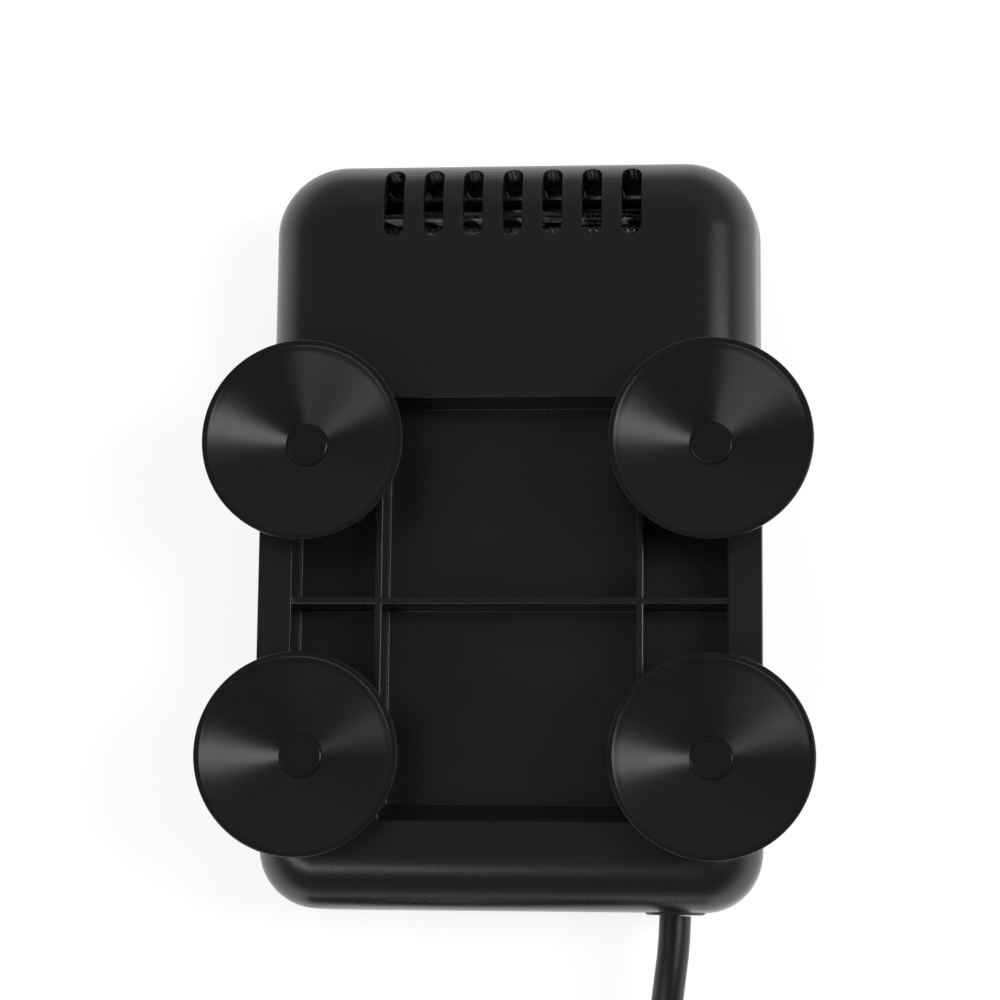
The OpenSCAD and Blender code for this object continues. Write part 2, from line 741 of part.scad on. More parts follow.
module button_switch() {
    color("#c9c9c9") translate([0, button_y, 0]) {
        translate([-3, -3, board_z - 3.4]) cube([6, 6, 3.4]);
        translate([0, 0, capsule_z + 1.2]) cylinder(r = 1.6, h = board_z - 3 - capsule_z - 1.2);
    }
}

// Rubber disc that closes the capsule behind the button.
module button_seal() {
    color("#8c8c90") translate([0, button_y, 0]) {
        translate([0, 0, button_seal_z]) cylinder(r = seal_r, h = 1.3);
        translate([0, 0, button_seal_z]) cylinder(r = button_flange_r, h = 0.3);
    }
}

module set_button() {
    color("#2a2a2c") translate([0, button_y, 0]) {
        translate([0, 0, button_sink]) cylinder(d = button_d, h = button_back_z - button_sink);
        translate([0, 0, wall + 0.1]) cylinder(r = button_flange_r, h = button_back_z - wall - 0.1);
    }
}

module temperature_probe() {
    color("#c4c7ca") translate([-capsule_hw + capsule_wall, probe_y, probe_z]) rotate([0, -90, 0]) {
        cylinder(r = probe_r, h = probe_l - probe_r);
        translate([0, 0, probe_l - probe_r]) sphere(probe_r);
        translate([0, 0, -1]) cylinder(r = probe_r + 0.7, h = 1);
    }
}

module probe_seal() {
    color("#7a2f28") translate([-capsule_hw - 1.2, probe_y, probe_z]) rotate([0, 90, 0]) difference() {
        cylinder(r = probe_r + 1.4, h = 1.2);
        translate([0, 0, -1]) cylinder(r = probe_r + run_gap, h = 4);
    }
}

module water_sensor_pins() {
    color("#c4c7ca") for (e = [-4, 4]) translate([capsule_hw - capsule_wall, probe_y + e, probe_z]) {
        rotate([0, 90, 0]) cylinder(r = 1, h = capsule_wall + 4);
        rotate([0, -90, 0]) cylinder(r = 1.7, h = 0.8);
    }
}

// ---- mains lead ----

// The two cores run from the gland round the capsule's corner into its end wall.
module mains_cores() {
    core_r = 1;
    y0 = gland_inner_y;
    y1 = capsule_y0;
    color("#6b3a22") swept_tube([
        [lead_x - 1.3, y0, seam_z], [lead_x - 1.3, y0 + 0.9, seam_z], [lead_x - 2.4, y0 + 1.9, seam_z - 0.6],
        [lead_x - 4.6, y1 - 2.4, seam_z - 1.8], [lead_x - 8.6, y1 - 2.6, seam_z - 3.6],
        [lead_x - 11.6, y1 - 2.4, seam_z - 5], [lead_x - 13.2, y1 - 1.6, seam_z - 5.4],
        [lead_x - 13.6, y1 - 0.8, seam_z - 5.5], [lead_x - 13.6, y1, seam_z - 5.5]
    ], core_r, 6);
    color("#28508c") swept_tube([
        [lead_x + 1.3, y0, seam_z], [lead_x + 1.3, y0 + 1.3, seam_z - 0.4],
        [lead_x + 0.6, y0 + 2.1, seam_z - 2.4], [lead_x - 1.2, y1 - 2.3, seam_z - 5],
        [lead_x - 4.6, y1 - 2.4, seam_z - 7],
        [lead_x - 7.1, y1 - 2, seam_z - 7.8], [lead_x - 8.4, y1 - 1.2, seam_z - 8],
        [lead_x - 8.6, y1 - 0.6, seam_z - 8], [lead_x - 8.6, y1, seam_z - 8]
    ], core_r, 6);
}

module cord_gland() {
    color("#202022") translate([lead_x, 0, seam_z]) rotate([90, 0, 0]) {
        translate([0, 0, half_l]) cylinder(d = collar_d, h = -gland_face_y - half_l);
        translate([0, 0, half_l - wall - 0.5]) cylinder(r = gland_neck_r, h = wall + 0.6);
        translate([0, 0, half_l - wall - 2]) cylinder(r = gland_flange_r, h = 2);
        translate([0, 0, -gland_inner_y])
            cylinder(r1 = lead_d / 2, r2 = gland_neck_r + 0.6, h = half_l - wall - 1.9 + gland_inner_y);
    }
}

module cord() {
    color("#17171a") swept_tube(lead_route, lead_d / 2, 10);
}

// Outer shape of the turns: two layers of three with one more turn on top, and the tail to the plug.
module cord_coil() {
    color("#17171a") {
        translate([coil_c[0], coil_c[1], 0]) rotate_extrude($fn = 96) polygon([
            [coil_r[0], coil_lift], [coil_r[1], coil_lift], [coil_r[1], coil_lift + 2 * lead_d],
            [coil_top_r[1], coil_top_z], [coil_top_r[0], coil_top_z], [coil_r[0], coil_lift + 2 * lead_d]
        ]);
        swept_tube(tail_route, lead_d / 2, 10);
    }
}

// Strap round the turns on the side away from the lead.
module cord_tie() {
    strap_t = 0.6;
    strap_w = 6;
    gap = 0.1;
    color("#2c2c2e") translate([coil_c[0], coil_c[1], 0]) rotate([0, 0, 180]) difference() {
        translate([coil_r[0] - gap - strap_t - 0.4, -strap_w / 2, 0])
            cube([coil_r[1] - coil_r[0] + 2 * (gap + strap_t) + 1.4, strap_w, coil_top_z + gap + strap_t]);
        translate([coil_r[0] - gap - 0.4, -strap_w / 2 - 1, strap_t])
            cube([coil_r[1] - coil_r[0] + 2 * gap + 1, strap_w + 2, coil_top_z + gap - strap_t]);
    }
}

module at_plug() {
    translate(plug_c) rotate([0, 0, plug_turn]) children();
}

// Moulded plug on its broad side, with the lead's sleeve behind it.
module plug_body() {
    nose = 4;
    color("#1a1a1c") at_plug() {
        rotate([0, 90, 0]) cylinder(r1 = lead_d / 2 + 0.6, r2 = 5, h = plug_boot_l);
        translate([plug_boot_l - 0.5, 0, 0]) hull() {
            translate([0, -6, -5]) cube([1, 12, 10]);
            translate([nose, -plug_w / 2 - 1.5, -plug_t / 2]) cube([plug_l - nose - 2, plug_w + 3, plug_t]);
            translate([plug_l - 1, -plug_w / 2 - 1, -plug_t / 2 + 0.5]) cube([1, plug_w + 2, plug_t - 1]);
        }
    }
}

module plug_pins() {
    color("#c9b26a") at_plug() for (s = [-1, 1]) {
        translate([plug_boot_l + plug_l - 0.5, s * pin_pitch / 2 - pin_t / 2, -pin_w / 2])
            cube([pin_l, pin_t, pin_w]);
    }
}

back_shell();
front_shell();
housing_screws();
suction_cup_upper_left();
suction_cup_upper_right();
suction_cup_lower_left();
suction_cup_lower_right();
quartz_tube_upper();
quartz_tube_lower();
element_core_upper();
element_core_lower();
element_wire_upper();
element_wire_lower();
tube_cap_upper_left();
tube_cap_upper_right();
tube_cap_lower_left();
tube_cap_lower_right();
tube_bracket_left();
tube_bracket_right();
thermal_cutout();
heater_leads();
capsule_body();
capsule_lid();
capsule_seal();
capsule_screws();
control_board();
display_module();
display_window();
power_triac();
terminal_block();
button_switch();
button_seal();
set_button();
temperature_probe();
probe_seal();
water_sensor_pins();
mains_cores();
cord_gland();
cord();
cord_coil();
cord_tie();
plug_body();
plug_pins();
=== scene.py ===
import json
import math

import bpy
from mathutils import Matrix, Vector


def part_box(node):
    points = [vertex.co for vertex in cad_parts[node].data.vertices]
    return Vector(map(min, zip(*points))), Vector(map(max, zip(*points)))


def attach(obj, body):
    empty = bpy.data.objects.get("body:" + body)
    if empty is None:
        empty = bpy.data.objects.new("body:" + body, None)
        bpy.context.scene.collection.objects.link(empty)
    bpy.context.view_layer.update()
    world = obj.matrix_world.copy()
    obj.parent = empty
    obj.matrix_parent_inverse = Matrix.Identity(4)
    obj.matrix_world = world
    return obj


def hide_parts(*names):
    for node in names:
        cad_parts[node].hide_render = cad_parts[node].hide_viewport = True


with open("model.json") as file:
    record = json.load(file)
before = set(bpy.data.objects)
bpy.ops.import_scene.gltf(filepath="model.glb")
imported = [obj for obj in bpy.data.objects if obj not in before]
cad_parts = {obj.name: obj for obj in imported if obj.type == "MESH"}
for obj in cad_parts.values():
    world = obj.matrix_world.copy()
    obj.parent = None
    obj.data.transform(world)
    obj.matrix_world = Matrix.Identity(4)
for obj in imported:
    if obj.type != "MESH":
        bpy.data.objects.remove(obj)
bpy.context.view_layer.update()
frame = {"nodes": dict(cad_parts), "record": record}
print("frame loaded with", len(frame["nodes"]), "nodes")

# camera above the back of the heater, a little to the lead side
viewpoint = dict(
    eye=(0.03993, -0.06992, 0.50848),
    target=(-0.0016, 0.0038, 0.036),
    roll=0.62,
    lens=99,
)


def makeCamera():
    eye = Vector(viewpoint["eye"])
    back = (eye - Vector(viewpoint["target"])).normalized()
    side = Vector((0, 1, 0)).cross(back).normalized()
    turn = Matrix((side, back.cross(side), back)).transposed().to_4x4()
    data = bpy.data.cameras.new("camera")
    data.lens = viewpoint["lens"]
    data.clip_start = 0.01
    camera = bpy.data.objects.new("camera", data)
    bpy.context.scene.collection.objects.link(camera)
    camera.matrix_world = (
        Matrix.Translation(eye) @ turn @ Matrix.Rotation(math.radians(viewpoint["roll"]), 4, "Z")
    )
    bpy.context.scene.camera = camera


makeCamera()
print("camera placed")


# the mains lead: free stretch, coil and tail, as one line of points
lead = dict(
    diameter=0.0056,
    length=1.5,
    exit=(0.0286, -0.0675, 0.018),
    route=[
        (0.0286, -0.0675, 0.018), (0.0283, -0.073, 0.018), (0.0276, -0.079, 0.0178),
        (0.0268, -0.085, 0.0169), (0.0258, -0.091, 0.0151), (0.0248, -0.097, 0.0127),
        (0.0239, -0.103, 0.0099), (0.0231, -0.109, 0.0073), (0.0225, -0.115, 0.0052),
        (0.0221, -0.121, 0.004), (0.022, -0.127, 0.0035),
    ],
    coilCentre=(-0.015, -0.132),
    turnRadii=(0.037, 0.0314, 0.0258, 0.0258, 0.0314, 0.037, 0.0342),
    layerHeights=(0.0035, 0.0091, 0.014),
    pointsPerTurn=30,
    lastTurn=300,          # degrees of the seventh turn, before the tail
    tail=[
        (0.0082, -0.1059, 0.0143), (0.0142, -0.1094, 0.0147), (0.0202, -0.1129, 0.0138),
        (0.026, -0.1171, 0.0122), (0.031, -0.1225, 0.0102), (0.0348, -0.129, 0.0083),
        (0.0374, -0.136, 0.0072), (0.0386, -0.1432, 0.007), (0.0386, -0.1504, 0.007),
    ],
)


def eased(value, start, end):
    share = min(1, max(0, (value - start) / (end - start)))
    return share * share * (3 - 2 * share)


def coilPoint(turns):
    # place on the winding after so many turns, clockwise from the side of the route's end
    radii, heights = lead["turnRadii"], lead["layerHeights"]
    radius = radii[0]
    for i in (1, 2, 4, 5):
        radius += (radii[i] - radii[i - 1]) * eased(turns, i, i + 1 / 6)
    radius += (radii[6] - radii[5]) * eased(turns, 6 - 1 / 9, 6 + 1 / 12)
    height = heights[0]
    height += (heights[1] - heights[0]) * eased(turns, 3 - 1 / 9, 3 + 1 / 12)
    height += (heights[2] - heights[1]) * eased(turns, 6 - 1 / 9, 6 + 1 / 12)
    angle = -math.tau * turns
    x, y = lead["coilCentre"]
    return (x + radius * math.cos(angle), y + radius * math.sin(angle), height)


def leadPoints():
    steps = round(lead["pointsPerTurn"] * (6 + lead["lastTurn"] / 360))
    turns = [i / lead["pointsPerTurn"] for i in range(steps + 1)]
    return lead["route"] + [coilPoint(t) for t in turns] + lead["tail"]


def makeLead(points):
    curve = bpy.data.curves.new("lead", "CURVE")
    curve.dimensions = "3D"
    curve.resolution_u = 4
    curve.bevel_depth = lead["diameter"] / 2
    curve.bevel_resolution = 5
    curve.use_fill_caps = True
    line = curve.splines.new("BEZIER")
    line.bezier_points.add(len(points) - 1)
    for knot, place in zip(line.bezier_points, points):
        knot.co = place
        knot.handle_left_type = knot.handle_right_type = "AUTO"
    cord = bpy.data.objects.new("cord_lead", curve)
    bpy.context.scene.collection.objects.link(cord)
    cord.select_set(True)
    bpy.context.view_layer.objects.active = cord
    bpy.ops.object.convert(target="MESH")
    cord = bpy.context.object
    bpy.ops.object.shade_smooth()
    return cord


leadPath = leadPoints()
cordLead = makeLead(leadPath)
print("lead laid out")


def takeOnly(piece):
    bpy.ops.object.select_all(action="DESELECT")
    piece.select_set(True)
    bpy.context.view_layer.objects.active = piece


def named(name):
    piece = bpy.context.object
    piece.name = piece.data.name = name
    return piece


def placed(piece):
    # moves the object's place, turn and size into its mesh
    takeOnly(piece)
    bpy.ops.object.transform_apply(location=True, rotation=True, scale=True)
    return piece


def box(name, low, high):
    low, high = Vector(low), Vector(high)
    bpy.ops.object.select_all(action="DESELECT")
    bpy.ops.mesh.primitive_cube_add(size=1, location=(low + high) / 2, scale=high - low)
    return placed(named(name))


def rod(name, radius, start, length, axis="Z", sides=48):
    turn = {"X": (0, math.pi / 2, 0), "Y": (-math.pi / 2, 0, 0), "Z": (0, 0, 0)}[axis]
    middle = Vector(start)
    middle["XYZ".index(axis)] += length / 2
    bpy.ops.object.select_all(action="DESELECT")
    bpy.ops.mesh.primitive_cylinder_add(
        vertices=sides, radius=radius, depth=length, location=middle, rotation=turn)
    return placed(named(name))


def pick(piece, kind, wanted):
    # opens the piece in edit mode with the vertices, edges or faces selected that pass a test
    takeOnly(piece)
    bpy.ops.object.mode_set(mode="EDIT")
    bpy.ops.mesh.select_mode(type=kind)
    bpy.ops.mesh.select_all(action="DESELECT")
    bpy.ops.object.mode_set(mode="OBJECT")
    mesh = piece.data
    found = 0
    if kind == "VERT":
        for vertex in mesh.vertices:
            vertex.select = wanted(vertex.co)
            found += vertex.select
    elif kind == "EDGE":
        for edge in mesh.edges:
            edge.select = wanted(*(mesh.vertices[i].co for i in edge.vertices))
            found += edge.select
    else:
        for face in mesh.polygons:
            face.select = wanted(face.center, face.normal)
            found += face.select
    bpy.ops.object.mode_set(mode="EDIT")
    return found


def done():
    bpy.ops.object.mode_set(mode="OBJECT")


def along(axis):
    # a test for edges that run along an axis
    i = "XYZ".index(axis)
    return lambda a, b: (abs(a[i] - b[i]) > 1e-4
                         and all(abs(a[k] - b[k]) < 1e-6 for k in range(3) if k != i))


def onPlane(axis, value):
    # a test for edges that lie in a plane across an axis
    i = "XYZ".index(axis)
    return lambda a, b: abs(a[i] - value) < 1e-6 and abs(b[i] - value) < 1e-6


def roundEdges(piece, radius, segments, wanted):
    if pick(piece, "EDGE", wanted):
        bpy.ops.mesh.bevel(offset=radius, offset_type="OFFSET", segments=segments, affect="EDGES")
    done()
    return piece


def roundAll(piece, radius, segments=2, angle=35):
    # rounds every edge whose faces meet at more than an angle
    takeOnly(piece)
    bpy.ops.object.modifier_add(type="BEVEL")
    bevel = piece.modifiers[-1]
    bevel.width, bevel.segments = radius, segments
    bevel.limit_method, bevel.angle_limit = "ANGLE", math.radians(angle)
    bevel.use_clamp_overlap = False
    bpy.ops.object.modifier_apply(modifier=bevel.name)
    return piece


def roundSharp(piece, radius, segments, angle, spared):
    # rounds the sharp edges but leaves the ones that a test spares
    pick(piece, "EDGE", lambda a, b: False)
    bpy.ops.mesh.edges_select_sharp(sharpness=math.radians(angle))
    done()
    sharp = [edge.index for edge in piece.data.edges
             if edge.select and not spared(*(piece.data.vertices[i].co for i in edge.vertices))]
    bpy.ops.object.mode_set(mode="EDIT")
    bpy.ops.mesh.select_all(action="DESELECT")
    done()
    for i in sharp:
        piece.data.edges[i].select = True
    bpy.ops.object.mode_set(mode="EDIT")
    bpy.ops.mesh.bevel(offset=radius, offset_type="OFFSET", segments=segments, affect="EDGES")
    done()
    return piece


def joined(name, pieces):
    takeOnly(pieces[0])
    for piece in pieces:
        piece.select_set(True)
    bpy.ops.object.join()
    return named(name)


def combine(piece, tools, operation):
    # adds or cuts away other solids; the solids given together may overlap each other
    tool = joined("tool", tools) if len(tools) > 1 else tools[0]
    takeOnly(piece)
    bpy.ops.object.modifier_add(type="BOOLEAN")
    step = piece.modifiers[-1]
    step.operation, step.solver, step.object = operation, "EXACT", tool
    step.use_self = len(tools) > 1
    bpy.ops.object.modifier_apply(modifier=step.name)
    bpy.data.objects.remove(tool)
    return piece


def smooth(piece, angle=35):
    takeOnly(piece)
    bpy.ops.object.shade_smooth_by_angle(angle=math.radians(angle))
    return piece


def weighted(piece, angle=35):
    # large faces keep their own direction, so that only the rounded edges shade round
    smooth(piece, angle)
    bpy.ops.object.modifier_add(type="WEIGHTED_NORMAL")
    piece.modifiers[-1].keep_sharp = True
    bpy.ops.object.modifier_apply(modifier=piece.modifiers[-1].name)
    return piece


def lathe(name, profile, place=(0, 0, 0), axis="Z", steps=64, rounds=(), closed=False, angle=35):
    # turns a profile of (radius, height) corners round an axis; rounds are (corner, radius, segments)
    bpy.ops.object.select_all(action="DESELECT")
    bpy.ops.mesh.primitive_plane_add(size=0.001)
    piece = named(name)
    bpy.ops.object.mode_set(mode="EDIT")
    bpy.ops.mesh.select_mode(type="VERT")
    bpy.ops.mesh.select_all(action="SELECT")
    bpy.ops.mesh.merge(type="CENTER")
    corners = [Vector((r, 0, h)) for r, h in profile]
    if closed:
        corners.append(corners[0].copy())
    bpy.ops.transform.translate(value=corners[0])
    for before, after in zip(corners, corners[1:]):
        bpy.ops.mesh.extrude_vertices_move(TRANSFORM_OT_translate={"value": after - before})
    bpy.ops.mesh.select_all(action="SELECT")
    bpy.ops.mesh.remove_doubles(threshold=1e-6)
    done()
    for corner, radius, segments in rounds:
        spot = Vector((profile[corner][0], 0, profile[corner][1]))
        pick(piece, "VERT", lambda co: (co - spot).length < 2e-6)
        bpy.ops.mesh.bevel(offset=radius, segments=segments, affect="VERTICES")
        done()
    takeOnly(piece)
    bpy.ops.object.mode_set(mode="EDIT")
    bpy.ops.mesh.select_all(action="SELECT")
    bpy.ops.mesh.spin(steps=steps, angle=math.tau, center=(0, 0, 0), axis=(0, 0, 1))
    bpy.ops.mesh.select_all(action="SELECT")
    bpy.ops.mesh.remove_doubles(threshold=2e-6)
    bpy.ops.mesh.normals_make_consistent(inside=False)
    done()
    piece.rotation_euler = {"X": (0, math.pi / 2, 0), "-X": (0, -math.pi / 2, 0),
                            "-Y": (math.pi / 2, 0, 0), "Z": (0, 0, 0)}[axis]
    piece.location = place
    return smooth(placed(piece), angle)


def shown(piece, body, slot, *replaced):
    # the piece rides on a body, takes a finish slot and stands for CAD nodes
    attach(piece, body)
    if replaced:
        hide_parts(*replaced)
    piece.data.materials.clear()
    piece.data.materials.append(finishes[slot])
    return piece


class Wire:  # an output socket; sums and products of wires add Math nodes
    def __init__(self, shop, socket):
        self.shop, self.socket = shop, socket

    def __add__(self, other):
        return self.shop.maths("ADD", self, other)

    def __radd__(self, other):
        return self.shop.maths("ADD", other, self)

    def __sub__(self, other):
        return self.shop.maths("SUBTRACT", self, other)

    def __rsub__(self, other):
        return self.shop.maths("SUBTRACT", other, self)

    def __mul__(self, other):
        return self.shop.maths("MULTIPLY", self, other)

    def __rmul__(self, other):
        return self.shop.maths("MULTIPLY", other, self)


class Shop:  # a node tree under construction
    def __init__(self, tree):
        self.tree = tree
        tree.nodes.clear()

    def add(self, kind, settings=None, values=None, out=0):
        node = self.tree.nodes.new(kind)
        for key, value in (settings or {}).items():
            setattr(node, key, value)
        for key, value in (values or {}).items():
            if isinstance(value, Wire):
                self.tree.links.new(value.socket, node.inputs[key])
            else:
                node.inputs[key].default_value = value
        return Wire(self, node.outputs[out]) if len(node.outputs) else node

    def maths(self, operation, *values):
        return self.add("ShaderNodeMath", {"operation": operation}, dict(enumerate(values)))

    def place(self, source="Object"):
        return self.add("ShaderNodeTexCoord", out=source)

    def stretched(self, place, size):
        # the pattern's coordinates, scaled along each axis
        return self.add("ShaderNodeMapping", {}, {"Vector": place, "Scale": size})

    def noise(self, place, scale, detail=3, roughness=0.5):
        return self.add("ShaderNodeTexNoise", {},
                        {"Vector": place, "Scale": scale, "Detail": detail, "Roughness": roughness})

    def cells(self, place, scale):
        return self.add("ShaderNodeTexVoronoi", {}, {"Vector": place, "Scale": scale})

    def step(self, wire, low, high):
        # 0 below low, 1 above high, smooth between
        return self.add("ShaderNodeMapRange", {"interpolation_type": "SMOOTHSTEP"},
                        {"Value": wire, "From Min": low, "From Max": high})

    def mix(self, factor, first, second):
        return self.add("ShaderNodeMix", {"data_type": "RGBA"}, {0: factor, 6: first, 7: second}, out=2)

    def bump(self, height, depth):
        return self.add("ShaderNodeBump", {}, {"Height": height, "Strength": 1.0, "Distance": depth})


def finish(name, paint, **constants):
    # a Principled material: paint(shop, place) gives what varies, constants are set on the shader
    material = bpy.data.materials.new(name)
    material.use_nodes = True
    shop = Shop(material.node_tree)
    values = {key.replace("_", " "): value for key, value in constants.items()}
    values.update(paint(shop, shop.place()))
    shader = shop.add("ShaderNodeBsdfPrincipled", {}, values)
    shop.add("ShaderNodeOutputMaterial", {}, {"Surface": shader})
    return material


def tinted(colour, share):
    return tuple(min(1, c * share) for c in colour) + (1,)


def moulded(name, colour, gloss, grain=2600, depth=0.000012, contrast=0.22, **constants):
    # injection-moulded plastic: eroded grain, slow flow marks and a few rubbed, shinier spots
    def paint(shop, place):
        fine = shop.noise(place, grain, 4, 0.6)
        flow = shop.noise(shop.stretched(place, (1, 2.2, 1)), 45, 3)
        rubbed = shop.step(shop.noise(place, 160, 5, 0.65), 0.56, 0.72)
        scuff = shop.noise(shop.stretched(place, (1, 14, 1)), 420, 4, 0.7)
        shade = fine * 0.45 + flow * 0.4 + rubbed * 0.15
        return {
            "Base Color": shop.mix(shade, tinted(colour, 1 - contrast), tinted(colour, 1 + contrast)),
            "Roughness": gloss + (flow - 0.5) * 0.08 - rubbed * 0.03 + (fine - 0.5) * 0.1,
            "Normal": shop.bump(fine + scuff * 0.15, depth),
        }
    return finish(name, paint, **constants)


def rubber(name, colour, gloss, grain=1800, depth=0.00001, **constants):
    # soft rubber or vinyl: cloudy shade, dull bloom and specks of dust
    def paint(shop, place):
        fine = shop.noise(place, grain, 3, 0.55)
        bloom = shop.noise(place, 120, 4, 0.6)
        dust = 1 - shop.step(shop.cells(place, 900), 0.03, 0.09)
        return {
            "Base Color": shop.mix(bloom * 0.5 + fine * 0.2 + dust * 0.3,
                                   tinted(colour, 0.75), tinted(colour, 1.5)),
            "Roughness": gloss + (bloom - 0.5) * 0.14 + dust * 0.1,
            "Normal": shop.bump(fine + bloom * 0.6, depth),
        }
    return finish(name, paint, **constants)


def metal(name, colour, gloss, grain=(1, 1, 1), stain=0.3, **constants):
    # plated or drawn metal: lines along the grain, light staining
    def paint(shop, place):
        lines = shop.noise(shop.stretched(place, grain), 2600, 3, 0.6)
        cloud = shop.noise(place, 320, 4, 0.6)
        worn = shop.step(cloud, 0.5, 0.75)
        return {
            "Base Color": shop.mix(worn * stain + lines * 0.2,
                                   tinted(colour, 1.05), tinted(colour, 0.55)),
            "Roughness": gloss + lines * 0.12 + worn * 0.15,
            "Normal": shop.bump(lines, 0.000006),
        }
    return finish(name, paint, Metallic=1.0, **constants)


def ceramic(name, colour, gloss):
    # fired body with pores and a little scorching
    def paint(shop, place):
        grit = shop.noise(place, 1900, 5, 0.7)
        scorch = shop.step(shop.noise(place, 110, 3), 0.45, 0.7)
        pores = 1 - shop.step(shop.cells(place, 1500), 0.08, 0.2)
        return {
            "Base Color": shop.mix(scorch * 0.4 + pores * 0.4, tinted(colour, 1.0), tinted(colour, 0.5)),
            "Roughness": gloss + grit * 0.15,
            "Normal": shop.bump(grit - pores * 0.6, 0.00003),
        }
    return finish(name, paint)


def glassy(name, colour, gloss, **constants):
    # clear piece with faint drawing lines and water marks
    def paint(shop, place):
        lines = shop.noise(shop.stretched(place, (0.1, 1, 1)), 700, 2)
        marks = shop.step(shop.noise(place, 260, 4, 0.65), 0.58, 0.7)
        return {
            "Base Color": shop.mix(marks * 0.5, tinted(colour, 1.0), tinted(colour, 0.86)),
            "Roughness": gloss + marks * 0.08,
            "Normal": shop.bump(lines, 0.00001),
        }
    return finish(name, paint, Transmission_Weight=1.0, **constants)


def laminate(name, colour):
    # circuit board under green lacquer, with copper tracks showing through
    def paint(shop, place):
        tracks = shop.add("ShaderNodeTexBrick", {},
                          {"Vector": place, "Scale": 260.0, "Mortar Size": 0.06}, out="Fac")
        weave = shop.noise(place, 3000, 2)
        return {
            "Base Color": shop.mix(tracks, tinted(colour, 0.8), tinted(colour, 1.7)),
            "Roughness": 0.28 + weave * 0.12,
            "Normal": shop.bump(tracks + weave * 0.2, 0.00003),
        }
    return finish(name, paint, Coat_Weight=0.4, Coat_Roughness=0.15)


def cupRubber(name, colour, gloss):
    # cup face: turning rings from the mould round the middle and fine streaks outwards
    def paint(shop, place):
        flat = shop.place("UV")
        radius = shop.add("ShaderNodeVectorMath", {"operation": "LENGTH"}, {0: flat}, out="Value")
        outwards = shop.add("ShaderNodeVectorMath", {"operation": "NORMALIZE"}, {0: flat})
        streaks = shop.noise(outwards, 22, 4, 0.7)
        rings = shop.noise(shop.add("ShaderNodeCombineXYZ", {}, {0: radius}), 2600, 3, 0.6)
        cloud = shop.noise(place, 150, 3, 0.6)
        dust = 1 - shop.step(shop.cells(place, 700), 0.03, 0.075)
        return {
            "Base Color": shop.mix(cloud * 0.4 + streaks * 0.35 + dust * 0.25,
                                   tinted(colour, 0.8), tinted(colour, 1.3)),
            "Roughness": gloss + (streaks - 0.5) * 0.12 + (cloud - 0.5) * 0.1 + dust * 0.1,
            "Normal": shop.bump(rings * 0.8 + streaks * 0.6 + cloud * 0.4, 0.000014),
        }
    return finish(name, paint, Specular_IOR_Level=0.34)


finishes = {
    "housing_black": moulded("housing_black", (0.0135, 0.0135, 0.0143), 0.28, 3400, 0.00001,
                             Specular_IOR_Level=0.65),
    "cup_rubber": cupRubber("cup_rubber", (0.0145, 0.0145, 0.0153), 0.25),
    "zinc_steel": metal("zinc_steel", (0.55, 0.55, 0.57), 0.28),
    "quartz": glassy("quartz", (0.97, 0.98, 1.0), 0.02, IOR=1.46),
    "core_ceramic": ceramic("core_ceramic", (0.62, 0.59, 0.52), 0.7),
    "resistance_wire": metal("resistance_wire", (0.62, 0.58, 0.55), 0.25, (0.2, 1, 1), 0.5),
    "cap_silicone": rubber("cap_silicone", (0.03, 0.03, 0.033), 0.5),
    "bracket_plastic": moulded("bracket_plastic", (0.02, 0.02, 0.021), 0.5),
    "cutout_ceramic": ceramic("cutout_ceramic", (0.66, 0.62, 0.54), 0.6),
    "lead_insulation": rubber("lead_insulation", (0.34, 0.06, 0.035), 0.4),
    "capsule_plastic": moulded("capsule_plastic", (0.02, 0.02, 0.024), 0.45),
    "seal_rubber": rubber("seal_rubber", (0.16, 0.03, 0.022), 0.55),
    "board_laminate": laminate("board_laminate", (0.012, 0.1, 0.04)),
    "display_black": moulded("display_black", (0.008, 0.008, 0.009), 0.3, 1500),
    "window_smoke": glassy("window_smoke", (0.25, 0.27, 0.3), 0.03, IOR=1.49),
    "component_black": moulded("component_black", (0.022, 0.022, 0.025), 0.42, 1800),
    "terminal_plastic": moulded("terminal_plastic", (0.04, 0.17, 0.06), 0.42, 1800),
    "switch_plastic": moulded("switch_plastic", (0.5, 0.5, 0.5), 0.4, 1800),
    "button_rubber": rubber("button_rubber", (0.24, 0.24, 0.26), 0.5),
    "button_plastic": moulded("button_plastic", (0.026, 0.026, 0.028), 0.3, 3400),
    "stainless": metal("stainless", (0.6, 0.6, 0.6), 0.22, (0.2, 1, 1)),
    "core_insulation": rubber("core_insulation", (0.14, 0.045, 0.02), 0.42),
    "gland_rubber": rubber("gland_rubber", (0.014, 0.014, 0.015), 0.42),
    "cord_jacket": rubber("cord_jacket", (0.008, 0.008, 0.009), 0.36),
    "tie_plastic": moulded("tie_plastic", (0.03, 0.03, 0.031), 0.5, 1500, 0.00003),
    "plug_plastic": moulded("plug_plastic", (0.016, 0.016, 0.018), 0.4, 2600),
    "pin_brass": metal("pin_brass", (0.72, 0.6, 0.36), 0.2, (1, 0.2, 1)),
}
for part in frame["record"]["subparts"]:
    node = frame["nodes"][part["node"]]
    node.data.materials.clear()
    node.data.materials.append(finishes[part["material_slot"]])
print("finishes made:", len(finishes))


